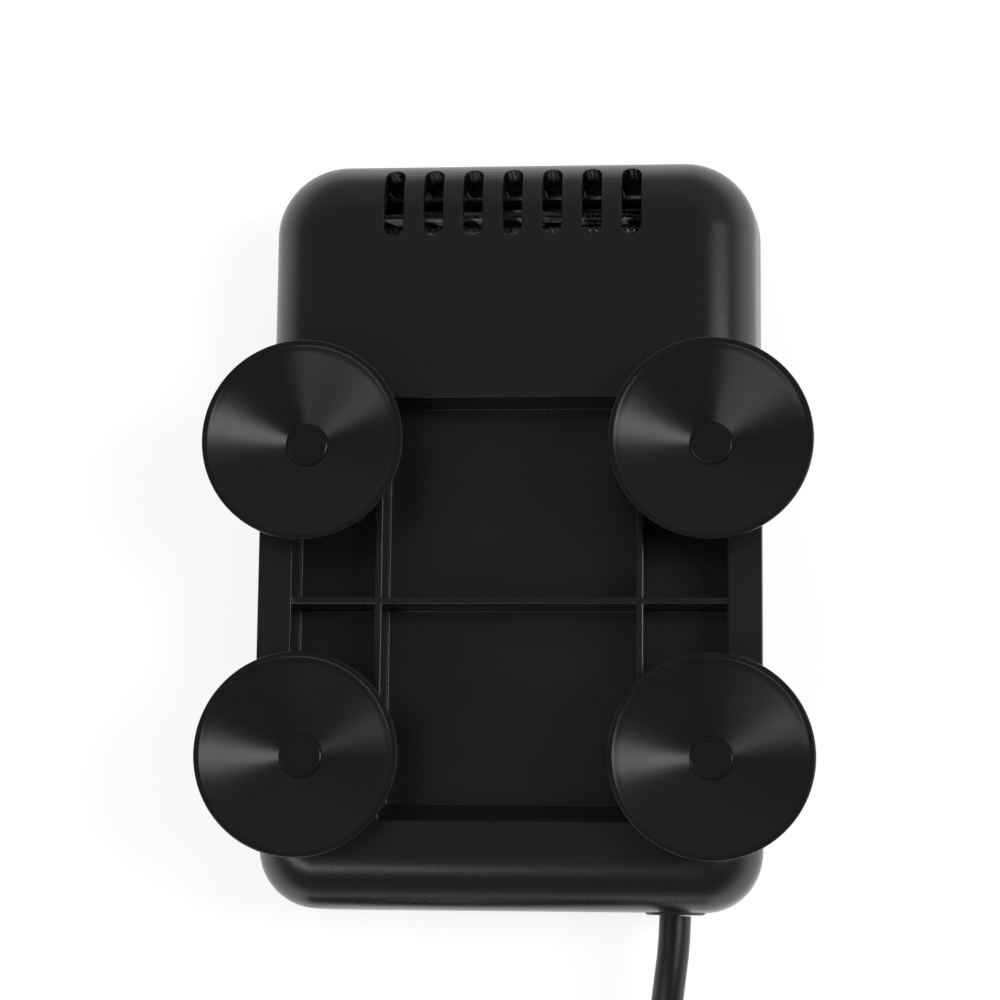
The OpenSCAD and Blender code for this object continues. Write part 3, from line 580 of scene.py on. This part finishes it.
# both shells: sizes that the frame doesn't give
halfWidth, halfLength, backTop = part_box("back_shell")[1]
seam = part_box("front_shell")[1].z
shell = dict(
    wall=0.0022,
    ventCorner=0.013,
    leadCorner=0.0105,
    backRim=0.009,
    cornerSteps=14,
    rimSteps=12,
    frontRim=0.004,
    frontRimSteps=6,
    hoodEdge=0.022,        # the recess lies between the hood and the bar
    barEdge=-0.052,
    recessFloor=0.0254,
    recessSide=0.006,
    ledgeRun=0.0032,       # slope from the recess up to the bar
    ribWidth=0.0013,
    ribX=0.0228,
    ribY=-0.0138,
    ribTop=0.0355,
    ribBite=0.0005,
    cupX=0.0352,
    cupRows=(0.013, -0.0412),
    bossRadius=0.007,
    bossBore=0.00335,
    bossRoom=0.0048,       # wider room below the bore, for the cup's knob
    boreFloor=0.0262,
    boreDepth=0.02,
    roomDepth=0.0063,
    screwX=0.0285,
    screwFromCup=0.0088,
    screwBore=0.0015,
    holeStart=0.013,
    holeDepth=0.03,
    postRadius=0.0035,
    postSplit=0.014,
    draft=0.0015,          # how far the hood leans in at its top
    ventWall=0.0045,
    glandBore=0.00405,
    glandStart=0.002,
    glandDepth=0.008,
    edge=0.0003,
    over=0.001,            # how far tools run past a face
)
cupPlaces = {
    f"suction_cup_{row}_{side}": (x, y)
    for row, y in zip(("upper", "lower"), shell["cupRows"])
    for side, x in (("left", -shell["cupX"]), ("right", shell["cupX"]))
}
screwPlaces = [
    (x, y)
    for x in (-shell["screwX"], shell["screwX"])
    for y in (shell["cupRows"][0] - shell["screwFromCup"], shell["cupRows"][1] + shell["screwFromCup"])
]
slots = dict(
    count=7,
    pitch=0.00705,
    width=0.0034,
    length=0.0127,
    end=0.0642,
    start=0.003,           # above the seam
    above=0.01,
    steps=8,
)
upright = along("Z")


def endBlock(name, low, high, corner, rim, sign, inset=0.0):
    # block with a round corner each side of its outer end and a rounded rim on top; the hood leans in
    block = box(name, low, high)
    inner, outer = (low[1], high[1]) if sign > 0 else (high[1], low[1])
    top = high[2]
    atInner, atOuter, atTop = onPlane("Y", inner), onPlane("Y", outer), onPlane("Z", top)
    roundEdges(block, corner - inset, shell["cornerSteps"],
               lambda a, b: upright(a, b) and atOuter(a, b))
    if sign > 0:
        lean = shell["draft"]
        pick(block, "VERT", lambda co: abs(co.z - top) < 1e-6)
        bpy.ops.transform.resize(value=(1 - lean / high[0], 1 - lean / (outer - inner), 1),
                                 center_override=(0, inner, top))
        done()
    return roundEdges(block, rim - inset, shell["rimSteps"],
                      lambda a, b: atTop(a, b) and not atInner(a, b))


def slotRow(y, length, low, high):
    # tools for the row of slots; the rounding stops just short of half the width
    tools = []
    half = slots["width"] / 2
    for i in range(slots["count"]):
        x = (i - (slots["count"] - 1) / 2) * slots["pitch"]
        tool = box("slotTool", (x - half, y - length / 2, low), (x + half, y + length / 2, high))
        tools.append(roundEdges(tool, slots["width"] * 0.4999, slots["steps"], upright))
    return tools


def recessTool():
    floor, above, run = shell["recessFloor"], 0.002, shell["ledgeRun"]
    side = halfWidth - shell["recessSide"]
    tool = box("recessTool", (-side, shell["barEdge"], floor),
               (side, shell["hoodEdge"], backTop + above))
    atBar, atFloor = onPlane("Y", shell["barEdge"]), onPlane("Z", floor)
    atTop = onPlane("Z", backTop + above)
    pick(tool, "EDGE", lambda a, b: atFloor(a, b) and atBar(a, b))
    bpy.ops.transform.translate(value=(0, run, 0))
    done()
    # the slope ends at the back face, so the tool's upper edge goes back by the same rule
    pick(tool, "EDGE", lambda a, b: atTop(a, b) and atBar(a, b))
    bpy.ops.transform.translate(value=(0, -run * above / (backTop - floor), 0))
    done()
    return tool


def glandTool():
    x, y, z = lead["exit"]
    return rod("glandTool", shell["glandBore"], (x, y - shell["glandStart"], z),
               shell["glandDepth"], "Y")


def backShell():
    wall, hood, bar, over = shell["wall"], shell["hoodEdge"], shell["barEdge"], shell["over"]
    body = endBlock("housing_back", (-halfWidth, hood, seam), (halfWidth, halfLength, backTop),
                    shell["ventCorner"], shell["backRim"], 1)
    barBlock = endBlock("bar", (-halfWidth, -halfLength, seam), (halfWidth, bar, backTop),
                        shell["leadCorner"], shell["backRim"], -1)
    middle = box("middle", (-halfWidth, bar, seam), (halfWidth, hood, backTop))
    combine(body, [middle], "UNION")
    combine(body, [barBlock], "UNION")
    combine(body, [recessTool()], "DIFFERENCE")
    # the space inside: under the hood, under the bar and between them
    inner = halfWidth - wall
    under = shell["recessFloor"] - wall
    combine(body, [endBlock("hoodRoom", (-inner, hood + wall, seam - over),
                            (inner, halfLength - shell["ventWall"], backTop - wall),
                            shell["ventCorner"], shell["backRim"], 1, wall)], "DIFFERENCE")
    combine(body, [endBlock("barRoom", (-inner, -halfLength + wall, seam - over),
                            (inner, bar - wall, backTop - wall),
                            shell["leadCorner"], shell["backRim"], -1, wall)], "DIFFERENCE")
    combine(body, [box("middleRoom", (-inner, bar - wall - over, seam - over),
                       (inner, hood + wall + over, under))], "DIFFERENCE")
    # ribs and socket bosses on the recess floor, screw posts below it
    floor, side = shell["recessFloor"] - over, halfWidth - shell["recessSide"]
    half, bite, top = shell["ribWidth"] / 2, shell["ribBite"], shell["ribTop"]
    ribs = [box("rib", (s * shell["ribX"] - half, bar - bite, floor),
                (s * shell["ribX"] + half, hood + bite, top)) for s in (-1, 1)]
    ribs.append(box("rib", (-side - bite, shell["ribY"] - half, floor),
                    (side + bite, shell["ribY"] + half, top)))
    bosses = [rod("boss", shell["bossRadius"], (x, y, floor), top - floor, sides=64)
              for x, y in cupPlaces.values()]
    posts = [rod("post", shell["postRadius"], (x, y, shell["postSplit"]),
                 under + over - shell["postSplit"]) for x, y in screwPlaces]
    combine(body, ribs + bosses, "UNION")
    combine(body, posts, "UNION")
    combine(body, slotRow(slots["end"] - slots["length"] / 2, slots["length"],
                          seam + slots["start"], backTop + slots["above"]), "DIFFERENCE")
    bores = [rod("bore", shell["bossBore"], (x, y, shell["boreFloor"]), shell["boreDepth"])
             for x, y in cupPlaces.values()]
    rooms = [rod("room", shell["bossRoom"], (x, y, shell["boreFloor"]), shell["roomDepth"])
             for x, y in cupPlaces.values()]
    holes = [rod("hole", shell["screwBore"], (x, y, shell["holeStart"]), shell["holeDepth"], sides=24)
             for x, y in screwPlaces]
    combine(body, bores + rooms + holes + [glandTool()], "DIFFERENCE")
    return body


def tray(name, low, high, inset):
    block = box(name, (-halfWidth + inset, -halfLength + inset, low),
                (halfWidth - inset, halfLength - inset, high))
    roundEdges(block, shell["ventCorner"] - inset, shell["cornerSteps"],
               lambda a, b: upright(a, b) and a.y > 0)
    roundEdges(block, shell["leadCorner"] - inset, shell["cornerSteps"],
               lambda a, b: upright(a, b) and a.y < 0)
    return roundEdges(block, shell["frontRim"] - inset, shell["frontRimSteps"], onPlane("Z", low))


front = dict(
    restInset=0.0034,      # four rests carry the capsule
    restRadius=0.0025,
    collarWall=0.0014,     # collar round the set button
    collarHeight=0.0026,
    buttonBore=0.00505,
    seatGap=0.0003,
    seatDepth=0.003,
    footGap=0.0016,        # a rib each side of a bracket's foot
    footRib=0.0012,
    footTrim=0.0017,
    footHeight=0.002,
    grille=0.03,
    holeStart=0.002,
    holeDepth=0.02,
)
window = dict(flange=0.0016, gap=0.0001, step=0.0012, lap=0.0001, edge=0.0006)


def frontShell():
    wall, over = shell["wall"], shell["over"]
    base = wall - over
    body = tray("housing_front", 0, seam, 0)
    combine(body, [tray("trayRoom", wall, seam + over, wall)], "DIFFERENCE")
    posts = [rod("post", shell["postRadius"], (x, y, base), shell["postSplit"] - wall + over)
             for x, y in screwPlaces]
    capsuleLow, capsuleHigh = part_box("capsule_body")
    inset = front["restInset"]
    rests = [rod("rest", front["restRadius"], (x, y, base), capsuleLow.z - wall + over)
             for x in (capsuleLow.x + inset, capsuleHigh.x - inset)
             for y in (capsuleLow.y + inset, capsuleHigh.y - inset)]
    buttonLow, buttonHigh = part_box("set_button")
    middle = (buttonLow + buttonHigh) / 2
    collar = rod("collar", buttonHigh.x + front["collarWall"], (0, middle.y, base),
                 front["collarHeight"], sides=64)
    footLow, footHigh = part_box("tube_bracket_right")
    centre, half = (footLow.x + footHigh.x) / 2, front["footRib"] / 2
    ribs = []
    for s in (-1, 1):
        for e in (-1, 1):
            x = s * centre + e * (front["footGap"] + half)
            ribs.append(box("footRib", (x - half, footLow.y + front["footTrim"], base),
                            (x + half, footHigh.y - front["footTrim"], wall + front["footHeight"])))
    combine(body, posts + rests + [collar] + ribs, "UNION")
    tubes = [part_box(f"quartz_tube_{row}") for row in ("upper", "lower")]
    cuts = slotRow(sum(low.y + high.y for low, high in tubes) / 4, front["grille"], -over, wall + over)
    windowLow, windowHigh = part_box("display_window")
    flange, gap = window["flange"], window["gap"]
    cuts.append(box("windowTool", (windowLow.x + flange - gap, windowLow.y + flange - gap, -over),
                    (windowHigh.x - flange + gap, windowHigh.y - flange + gap, wall + over)))
    cuts.append(rod("buttonTool", front["buttonBore"], (0, middle.y, -over), wall + 2 * over, sides=64))
    combine(body, cuts, "DIFFERENCE")
    seats = [rod("seat", buttonHigh.x + front["seatGap"], (0, middle.y, wall), front["seatDepth"],
                 sides=64)]
    seats += [rod("hole", shell["screwBore"], (x, y, wall + front["holeStart"]), front["holeDepth"],
                  sides=24) for x, y in screwPlaces]
    combine(body, seats + [glandTool()], "DIFFERENCE")
    return body


def onStep(a, b):
    # an edge of the thin step where the rounded hood or bar runs into the middle section
    outside = min(abs(a.x), abs(b.x)) > halfWidth - shell["recessSide"] - 0.004
    return outside and any(abs(a.y - plane) < 1e-5 and abs(b.y - plane) < 1e-5
                           for plane in (shell["hoodEdge"], shell["barEdge"]))


backPiece = backShell()
roundSharp(backPiece, shell["edge"], 2, 50, onStep)
weighted(backPiece, 30)
shown(backPiece, "housing", "housing_black", "back_shell")
frontPiece = frontShell()
roundAll(frontPiece, shell["edge"], 2, 50)
weighted(frontPiece, 30)
shown(frontPiece, "housing", "housing_black", "front_shell")
print("shells:", len(backPiece.data.polygons), len(frontPiece.data.polygons), "faces")


# suction cups: one profile, heights from the rim, turned and copied
cup = dict(
    steps=128,
    profile=[
        (0, -0.018), (0.0028, -0.018), (0.0042, -0.0162), (0.0042, -0.0138), (0.0033, -0.0138),
        (0.0033, -0.0097), (0.0057, -0.0097), (0.0062, -0.0083), (0.0085, -0.0061),
        (0.0119, -0.0037), (0.0159, -0.0015), (0.0175, -0.0008), (0.0175, 0), (0.0166, 0),
        (0.0157, -0.0005), (0.0037, -0.0059), (0.0036, -0.0057), (0.0034, -0.0056), (0, -0.0056),
    ],
    rounds=[
        (1, 0.0006, 3), (3, 0.0002, 2), (6, 0.0003, 2), (7, 0.0006, 3), (8, 0.0011, 4),
        (9, 0.0015, 4), (10, 0.0012, 4), (11, 0.00025, 2), (12, 0.00025, 3), (13, 0.0002, 2),
        (14, 0.0005, 4),
    ],
)


def makeCups():
    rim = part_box("suction_cup_upper_left")[1].z
    first = lathe("cup", cup["profile"], steps=cup["steps"], rounds=cup["rounds"], angle=25)
    layer = first.data.uv_layers.new(name="face")
    for loop in first.data.loops:
        layer.data[loop.index].uv = first.data.vertices[loop.vertex_index].co.xy
    for node, (x, y) in cupPlaces.items():
        takeOnly(first)
        bpy.ops.object.duplicate()
        piece = named(node.replace("suction_cup", "cup"))
        piece.location = (x, y, rim)
        shown(placed(piece), node, "cup_rubber", node)
    bpy.data.objects.remove(first)


makeCups()
print("cups made")


def heatingTubes():
    caps = dict(grip=0.006, ring=0.0004)
    glass, edge = 0.0012, 0.0003
    wire = dict(thickness=0.0006, turns=46, perTurn=16, gap=0.0003)
    for row in ("upper", "lower"):
        low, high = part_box(f"quartz_tube_{row}")
        middle = (low + high) / 2
        radius, length = (high.y - low.y) / 2, high.x - low.x
        tube = lathe(f"quartz_{row}", [(radius, 0), (radius, length), (radius - glass, length),
                                       (radius - glass, 0)], (low.x, middle.y, middle.z), "X",
                     rounds=[(corner, edge, 2) for corner in range(4)], closed=True)
        shown(tube, "housing", "quartz", f"quartz_tube_{row}")
        coreLow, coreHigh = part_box(f"element_core_{row}")
        core = (coreHigh.y - coreLow.y) / 2
        stick = lathe(f"core_{row}", [(0, 0), (core, 0), (core, length), (0, length)],
                      (low.x, middle.y, middle.z), "X", 48, [(1, 0.0004, 3), (2, 0.0004, 3)])
        shown(stick, "housing", "core_ceramic", f"element_core_{row}")
        wireLow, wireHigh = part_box(f"element_wire_{row}")
        wind = core + wire["gap"] + wire["thickness"] / 2
        curve = bpy.data.curves.new(f"winding_{row}", "CURVE")
        curve.dimensions, curve.bevel_depth, curve.bevel_resolution = "3D", wire["thickness"] / 2, 1
        curve.use_fill_caps = True
        line = curve.splines.new("POLY")
        count = wire["turns"] * wire["perTurn"]
        line.points.add(count)
        span = wireHigh.x - wireLow.x - wire["thickness"]
        for i, point in enumerate(line.points):
            angle = math.tau * i / wire["perTurn"]
            point.co = (wireLow.x + wire["thickness"] / 2 + span * i / count,
                        middle.y + wind * math.cos(angle), middle.z + wind * math.sin(angle), 1)
        winding = bpy.data.objects.new(f"winding_{row}", curve)
        bpy.context.scene.collection.objects.link(winding)
        takeOnly(winding)
        bpy.ops.object.convert(target="MESH")
        shown(smooth(bpy.context.object, 60), "housing", "resistance_wire", f"element_wire_{row}")
        for side, axis, s in (("left", "-X", -1), ("right", "X", 1)):
            node = f"tube_cap_{row}_{side}"
            capLow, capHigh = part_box(node)
            outer, depth = (capHigh.y - capLow.y) / 2, capHigh.x - capLow.x
            inside = radius + 0.00005
            start = capLow.x if s > 0 else capHigh.x
            profile = [(inside, 0), (outer, 0), (outer, 0.0018), (outer - caps["ring"], 0.0022),
                       (outer - caps["ring"], 0.0034), (outer, 0.0038), (outer, depth), (0, depth),
                       (0, caps["grip"]), (inside, caps["grip"])]
            cap = lathe(f"cap_{row}_{side}", profile, (start, middle.y, middle.z), axis, 64,
                        [(6, 0.0008, 4), (1, 0.0003, 2)], closed=True, angle=50)
            shown(cap, "housing", "cap_silicone", node)


heatingTubes()
print("heating tubes made")


def screws():
    # pan heads with a cross recess
    low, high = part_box("housing_screws")
    head = dict(radius=0.0027, height=0.0018, side=0.0007, recess=0.0032, width=0.0006, depth=0.0009)
    shank = dict(radius=0.00145, tip=0.0009, point=0.0012)
    seat, wide = high.z - head["height"], head["radius"]
    profile = [
        (0, low.z), (shank["tip"], low.z), (shank["radius"], low.z + shank["point"]),
        (shank["radius"], seat), (wide, seat), (wide, seat + head["side"]),
        (wide * 0.72, high.z - 0.0002), (0, high.z),
    ]
    made = []
    for x, y in screwPlaces:
        screw = lathe("screw", profile, (x, y, 0), "Z", 32, [(5, 0.0003, 2), (6, 0.0006, 3)])
        arm, wide = head["recess"] / 2, head["width"] / 2
        for a, b in ((arm, wide), (wide, arm)):
            cross = box("arm", (x - a, y - b, high.z - head["depth"]), (x + a, y + b, high.z + 0.001))
            combine(screw, [cross], "DIFFERENCE")
        made.append(screw)
    shown(smooth(joined("case_screws", made), 35), "housing", "zinc_steel", "housing_screws")


screws()


def frontFittings():
    # lens of the display, flush block with a polished edge, and the set button
    low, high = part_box("display_window")
    flange, step = window["flange"], window["step"]
    lens = box("lens", (low.x + flange, low.y + flange, low.z),
               (high.x - flange, high.y - flange, high.z - step + window["lap"]))
    roundEdges(lens, window["edge"], 3, onPlane("Z", low.z))
    rim = box("lensRim", (low.x, low.y, high.z - step), tuple(high))
    combine(lens, [rim], "UNION")
    lens.name = "display_lens"
    shown(weighted(lens, 30), "housing", "window_smoke", "display_window")
    low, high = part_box("set_button")
    middle, radius, flangeRadius = (low.y + high.y) / 2, 0.005 - 0.0001, (high.x - low.x) / 2
    shoulder = shell["wall"] + 0.0001
    profile = [
        (0, low.z + 0.0004), (0.0032, low.z + 0.0003), (0.0038, low.z), (radius, low.z),
        (radius, shoulder), (flangeRadius, shoulder), (flangeRadius, high.z), (0, high.z),
    ]
    button = lathe("button", profile, (0, middle, 0), "Z", 64,
                   [(1, 0.0004, 3), (2, 0.0002, 2), (3, 0.0004, 3)])
    shown(button, "set_button", "button_plastic", "set_button")


frontFittings()
print("screws, display lens and set button made")


def leadFittings():
    x, y, z = lead["exit"]
    low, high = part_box("cord_gland")
    collar, half, deep = (high.x - low.x) / 2, lead["diameter"] / 2, high.y - y
    neck, face, clampRise, clampStart, clampEnd = 0.004, 0.0005, 0.0012, 0.0028, 0.0046
    profile = [
        (0, 0), (half, 0), (half + 0.0008, 0.0001), (collar - 0.0004, 0), (collar, face),
        (neck, face), (neck, clampStart), (neck + clampRise, clampStart),
        (neck + clampRise, clampEnd), (neck + clampRise / 2, clampEnd + 0.0002), (half, deep), (0, deep),
    ]
    gland = lathe("gland", profile, (0, 0, 0), "Z", 64, [(3, 0.0003, 3)])
    # the profile's height runs into the housing, along +Y
    gland.rotation_euler = (-math.pi / 2, 0, 0)
    gland.location = (x, y, z)
    shown(smooth(placed(gland), 40), "housing", "gland_rubber", "cord_gland")
    return gland


gland = leadFittings()


def makeTie():
    # flat strap round the winding
    low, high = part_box("cord_tie")
    strap = dict(thick=0.0006, corner=0.0022, edge=0.00015)
    loop = box("cord_strap", low, high)
    roundEdges(loop, strap["corner"], 5, along("Y"))
    room = box("room", (low.x + strap["thick"], low.y - 0.001, low.z + strap["thick"]),
               (high.x - strap["thick"], high.y + 0.001, high.z - strap["thick"]))
    roundEdges(room, strap["corner"] - strap["thick"], 5, along("Y"))
    combine(loop, [room], "DIFFERENCE")
    roundAll(loop, strap["edge"], 2, 50)
    return shown(smooth(loop, 40), "housing", "tie_plastic", "cord_tie")


tie = makeTie()


def makePlug():
    low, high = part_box("plug_body")
    middleX, middleZ = (low.x + high.x) / 2, (low.z + high.z) / 2
    boot = dict(length=0.018, start=0.0034, end=0.005, grooves=5, depth=0.0007, width=0.0012)
    body = dict(taperX=0.62, taperZ=0.72, shoulder=0.005, corner=0.0022, edge=0.00035)
    entry = high.y
    profile = [(0, 0), (boot["start"], 0)]
    pitch = (boot["length"] - 0.004) / boot["grooves"]
    for i in range(boot["grooves"]):
        at = 0.002 + i * pitch
        outer = boot["start"] + (boot["end"] - boot["start"]) * at / boot["length"]
        profile += [(outer, at), (outer - boot["depth"], at + 0.0003),
                    (outer - boot["depth"], at + boot["width"]),
                    (outer + 0.0001, at + boot["width"] + 0.0003)]
    profile += [(boot["end"], boot["length"] + 0.001), (0, boot["length"] + 0.001)]
    sleeve = lathe("sleeve", profile, (middleX, entry, middleZ), "-Y", 48, [(1, 0.0004, 3)], angle=50)
    face = entry - boot["length"] + 0.0005
    block = box("plugBlock", (low.x, low.y, low.z), (high.x, face, high.z))
    # the cable end narrows towards the sleeve
    pick(block, "FACE", lambda centre, normal: normal.y > 0.9)
    bpy.ops.mesh.extrude_region_move(TRANSFORM_OT_translate={"value": (0, 0, 0)})
    bpy.ops.transform.resize(value=(body["taperX"], 1, body["taperZ"]))
    done()
    pick(block, "VERT", lambda co: abs(co.y - face) < 1e-6 and abs(co.x - middleX) > 0.009)
    bpy.ops.transform.translate(value=(0, -body["shoulder"], 0))
    done()
    roundEdges(block, body["corner"], 5, lambda a, b: abs(a.y - b.y) > 0.004 and a.y < face + 1e-6)
    grip = dict(count=4, first=0.006, pitch=0.0028, width=0.0012, depth=0.0006, tool=0.0016)
    grips = []
    for i in range(grip["count"]):
        at = low.y + grip["first"] + grip["pitch"] * i
        for z in (low.z + grip["depth"] - grip["tool"], high.z - grip["depth"]):
            grips.append(box("grip", (low.x - 0.001, at, z),
                             (high.x + 0.001, at + grip["width"], z + grip["tool"])))
    combine(block, grips, "DIFFERENCE")
    roundAll(block, body["edge"], 2, 35)
    weighted(block, 30)
    plug = joined("plug", [block, sleeve])
    shown(plug, "housing", "plug_plastic", "plug_body")
    low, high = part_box("plug_pins")
    blade = dict(thick=0.0015, corner=0.0012, hole=0.0015, holeFromTip=0.0035, edge=0.00012)
    half, pins = blade["thick"] / 2, []
    atTip, across = onPlane("Y", low.y), along("X")
    for s in (-1, 1):
        x = middleX + s * ((high.x - low.x) / 2 - half)
        pin = box("pin", (x - half, low.y, low.z), (x + half, high.y, high.z))
        roundEdges(pin, blade["corner"], 3, lambda a, b: atTip(a, b) and across(a, b))
        hole = rod("hole", blade["hole"], (x - 0.002, low.y + blade["holeFromTip"], middleZ), 0.004,
                   "X", 24)
        combine(pin, [hole], "DIFFERENCE")
        pins.append(roundAll(pin, blade["edge"], 1, 40))
    blades = smooth(joined("plug_blades", pins), 40)
    shown(blades, "housing", "pin_brass", "plug_pins")
    return plug, blades


plug, blades = makePlug()
shown(cordLead, "housing", "cord_jacket", "cord", "cord_coil")
print("lead fittings made")


# pale floor, a broad lamp on the right, a dimmer strip at the lower left, a surround darkest overhead
stage = dict(
    floorSize=6,
    floorColour=0.86,
    floorGlow=0.72,
    lamps=[
        # name, place, turn in degrees, length, width, radiance
        ("softboxRight", (0.92, 0.07, 1.0), 8, 0.95, 0.32, 5.4),
        ("stripLeft", (-0.78, -0.4, 1.0), -19, 1.35, 0.26, 2.8),
    ],
    overhead=0.125,
    horizon=0.1,
    sideGlow=0.62,
    ventGlow=0.17,
)


def makeFloor():
    bpy.ops.object.select_all(action="DESELECT")
    bpy.ops.mesh.primitive_plane_add(size=stage["floorSize"], location=(0, 0, -0.0002))
    floor = placed(named("floor"))
    material = bpy.data.materials.new("paper")
    material.use_nodes = True
    shop = Shop(material.node_tree)
    fibre = shop.noise(shop.place(), 900, 3)
    shade = stage["floorColour"]
    diffuse = shop.add("ShaderNodeBsdfDiffuse", {}, {
        "Color": shop.mix(fibre, (shade, shade, shade, 1), (shade * 0.97, shade * 0.97, shade * 0.97, 1))})
    ray = [shop.add("ShaderNodeLightPath", {}, {}, out=name)
           for name in ("Is Camera Ray", "Is Glossy Ray", "Is Transmission Ray")]
    direct = shop.maths("MAXIMUM", shop.maths("MAXIMUM", ray[0], ray[1]), ray[2])
    glow = shop.add("ShaderNodeEmission", {}, {
        "Color": (1, 1, 1, 1), "Strength": direct * stage["floorGlow"]})
    both = shop.add("ShaderNodeAddShader", {}, {0: diffuse, 1: glow})
    # seen from below, the floor is clear
    below = shop.add("ShaderNodeNewGeometry", out="Backfacing")
    clear = shop.add("ShaderNodeBsdfTransparent", {}, {"Color": (1, 1, 1, 1)})
    sheet = shop.add("ShaderNodeMixShader", {}, {0: below, 1: both, 2: clear})
    shop.add("ShaderNodeOutputMaterial", {}, {"Surface": sheet})
    floor.data.materials.append(material)


def makeLamps():
    for name, place, turn, length, width, radiance in stage["lamps"]:
        data = bpy.data.lights.new(name, "AREA")
        data.shape, data.size, data.size_y = "RECTANGLE", length, width
        data.energy = radiance * math.pi * length * width
        lamp = bpy.data.objects.new(name, data)
        bpy.context.scene.collection.objects.link(lamp)
        lamp.location = place
        lamp.rotation_euler = (0, 0, math.radians(turn))


def makeWorld():
    world = bpy.data.worlds.new("studio")
    bpy.context.scene.world = world
    world.use_nodes = True
    shop = Shop(world.node_tree)
    right, vent, up = (shop.add("ShaderNodeSeparateXYZ", {}, {0: shop.place("Generated")}, out=axis)
                       for axis in "XYZ")
    low = 1 - shop.step(up, 0.0, 0.5)
    level = stage["overhead"] + low * (stage["horizon"] + right * right * stage["sideGlow"])
    level = level + shop.step(vent, 0.0, 0.8) * stage["ventGlow"]
    seen = shop.maths("MAXIMUM", shop.add("ShaderNodeLightPath", {}, {}, out="Is Camera Ray"),
                      shop.add("ShaderNodeLightPath", {}, {}, out="Is Transmission Ray"))
    strength = seen + (1 - seen) * level
    background = shop.add("ShaderNodeBackground", {},
                          {"Color": (1, 1, 1, 1), "Strength": strength})
    shop.add("ShaderNodeOutputWorld", {}, {"Surface": background})


makeFloor()
makeLamps()
makeWorld()
bpy.context.scene.view_settings.view_transform = "Standard"
print("stage set")
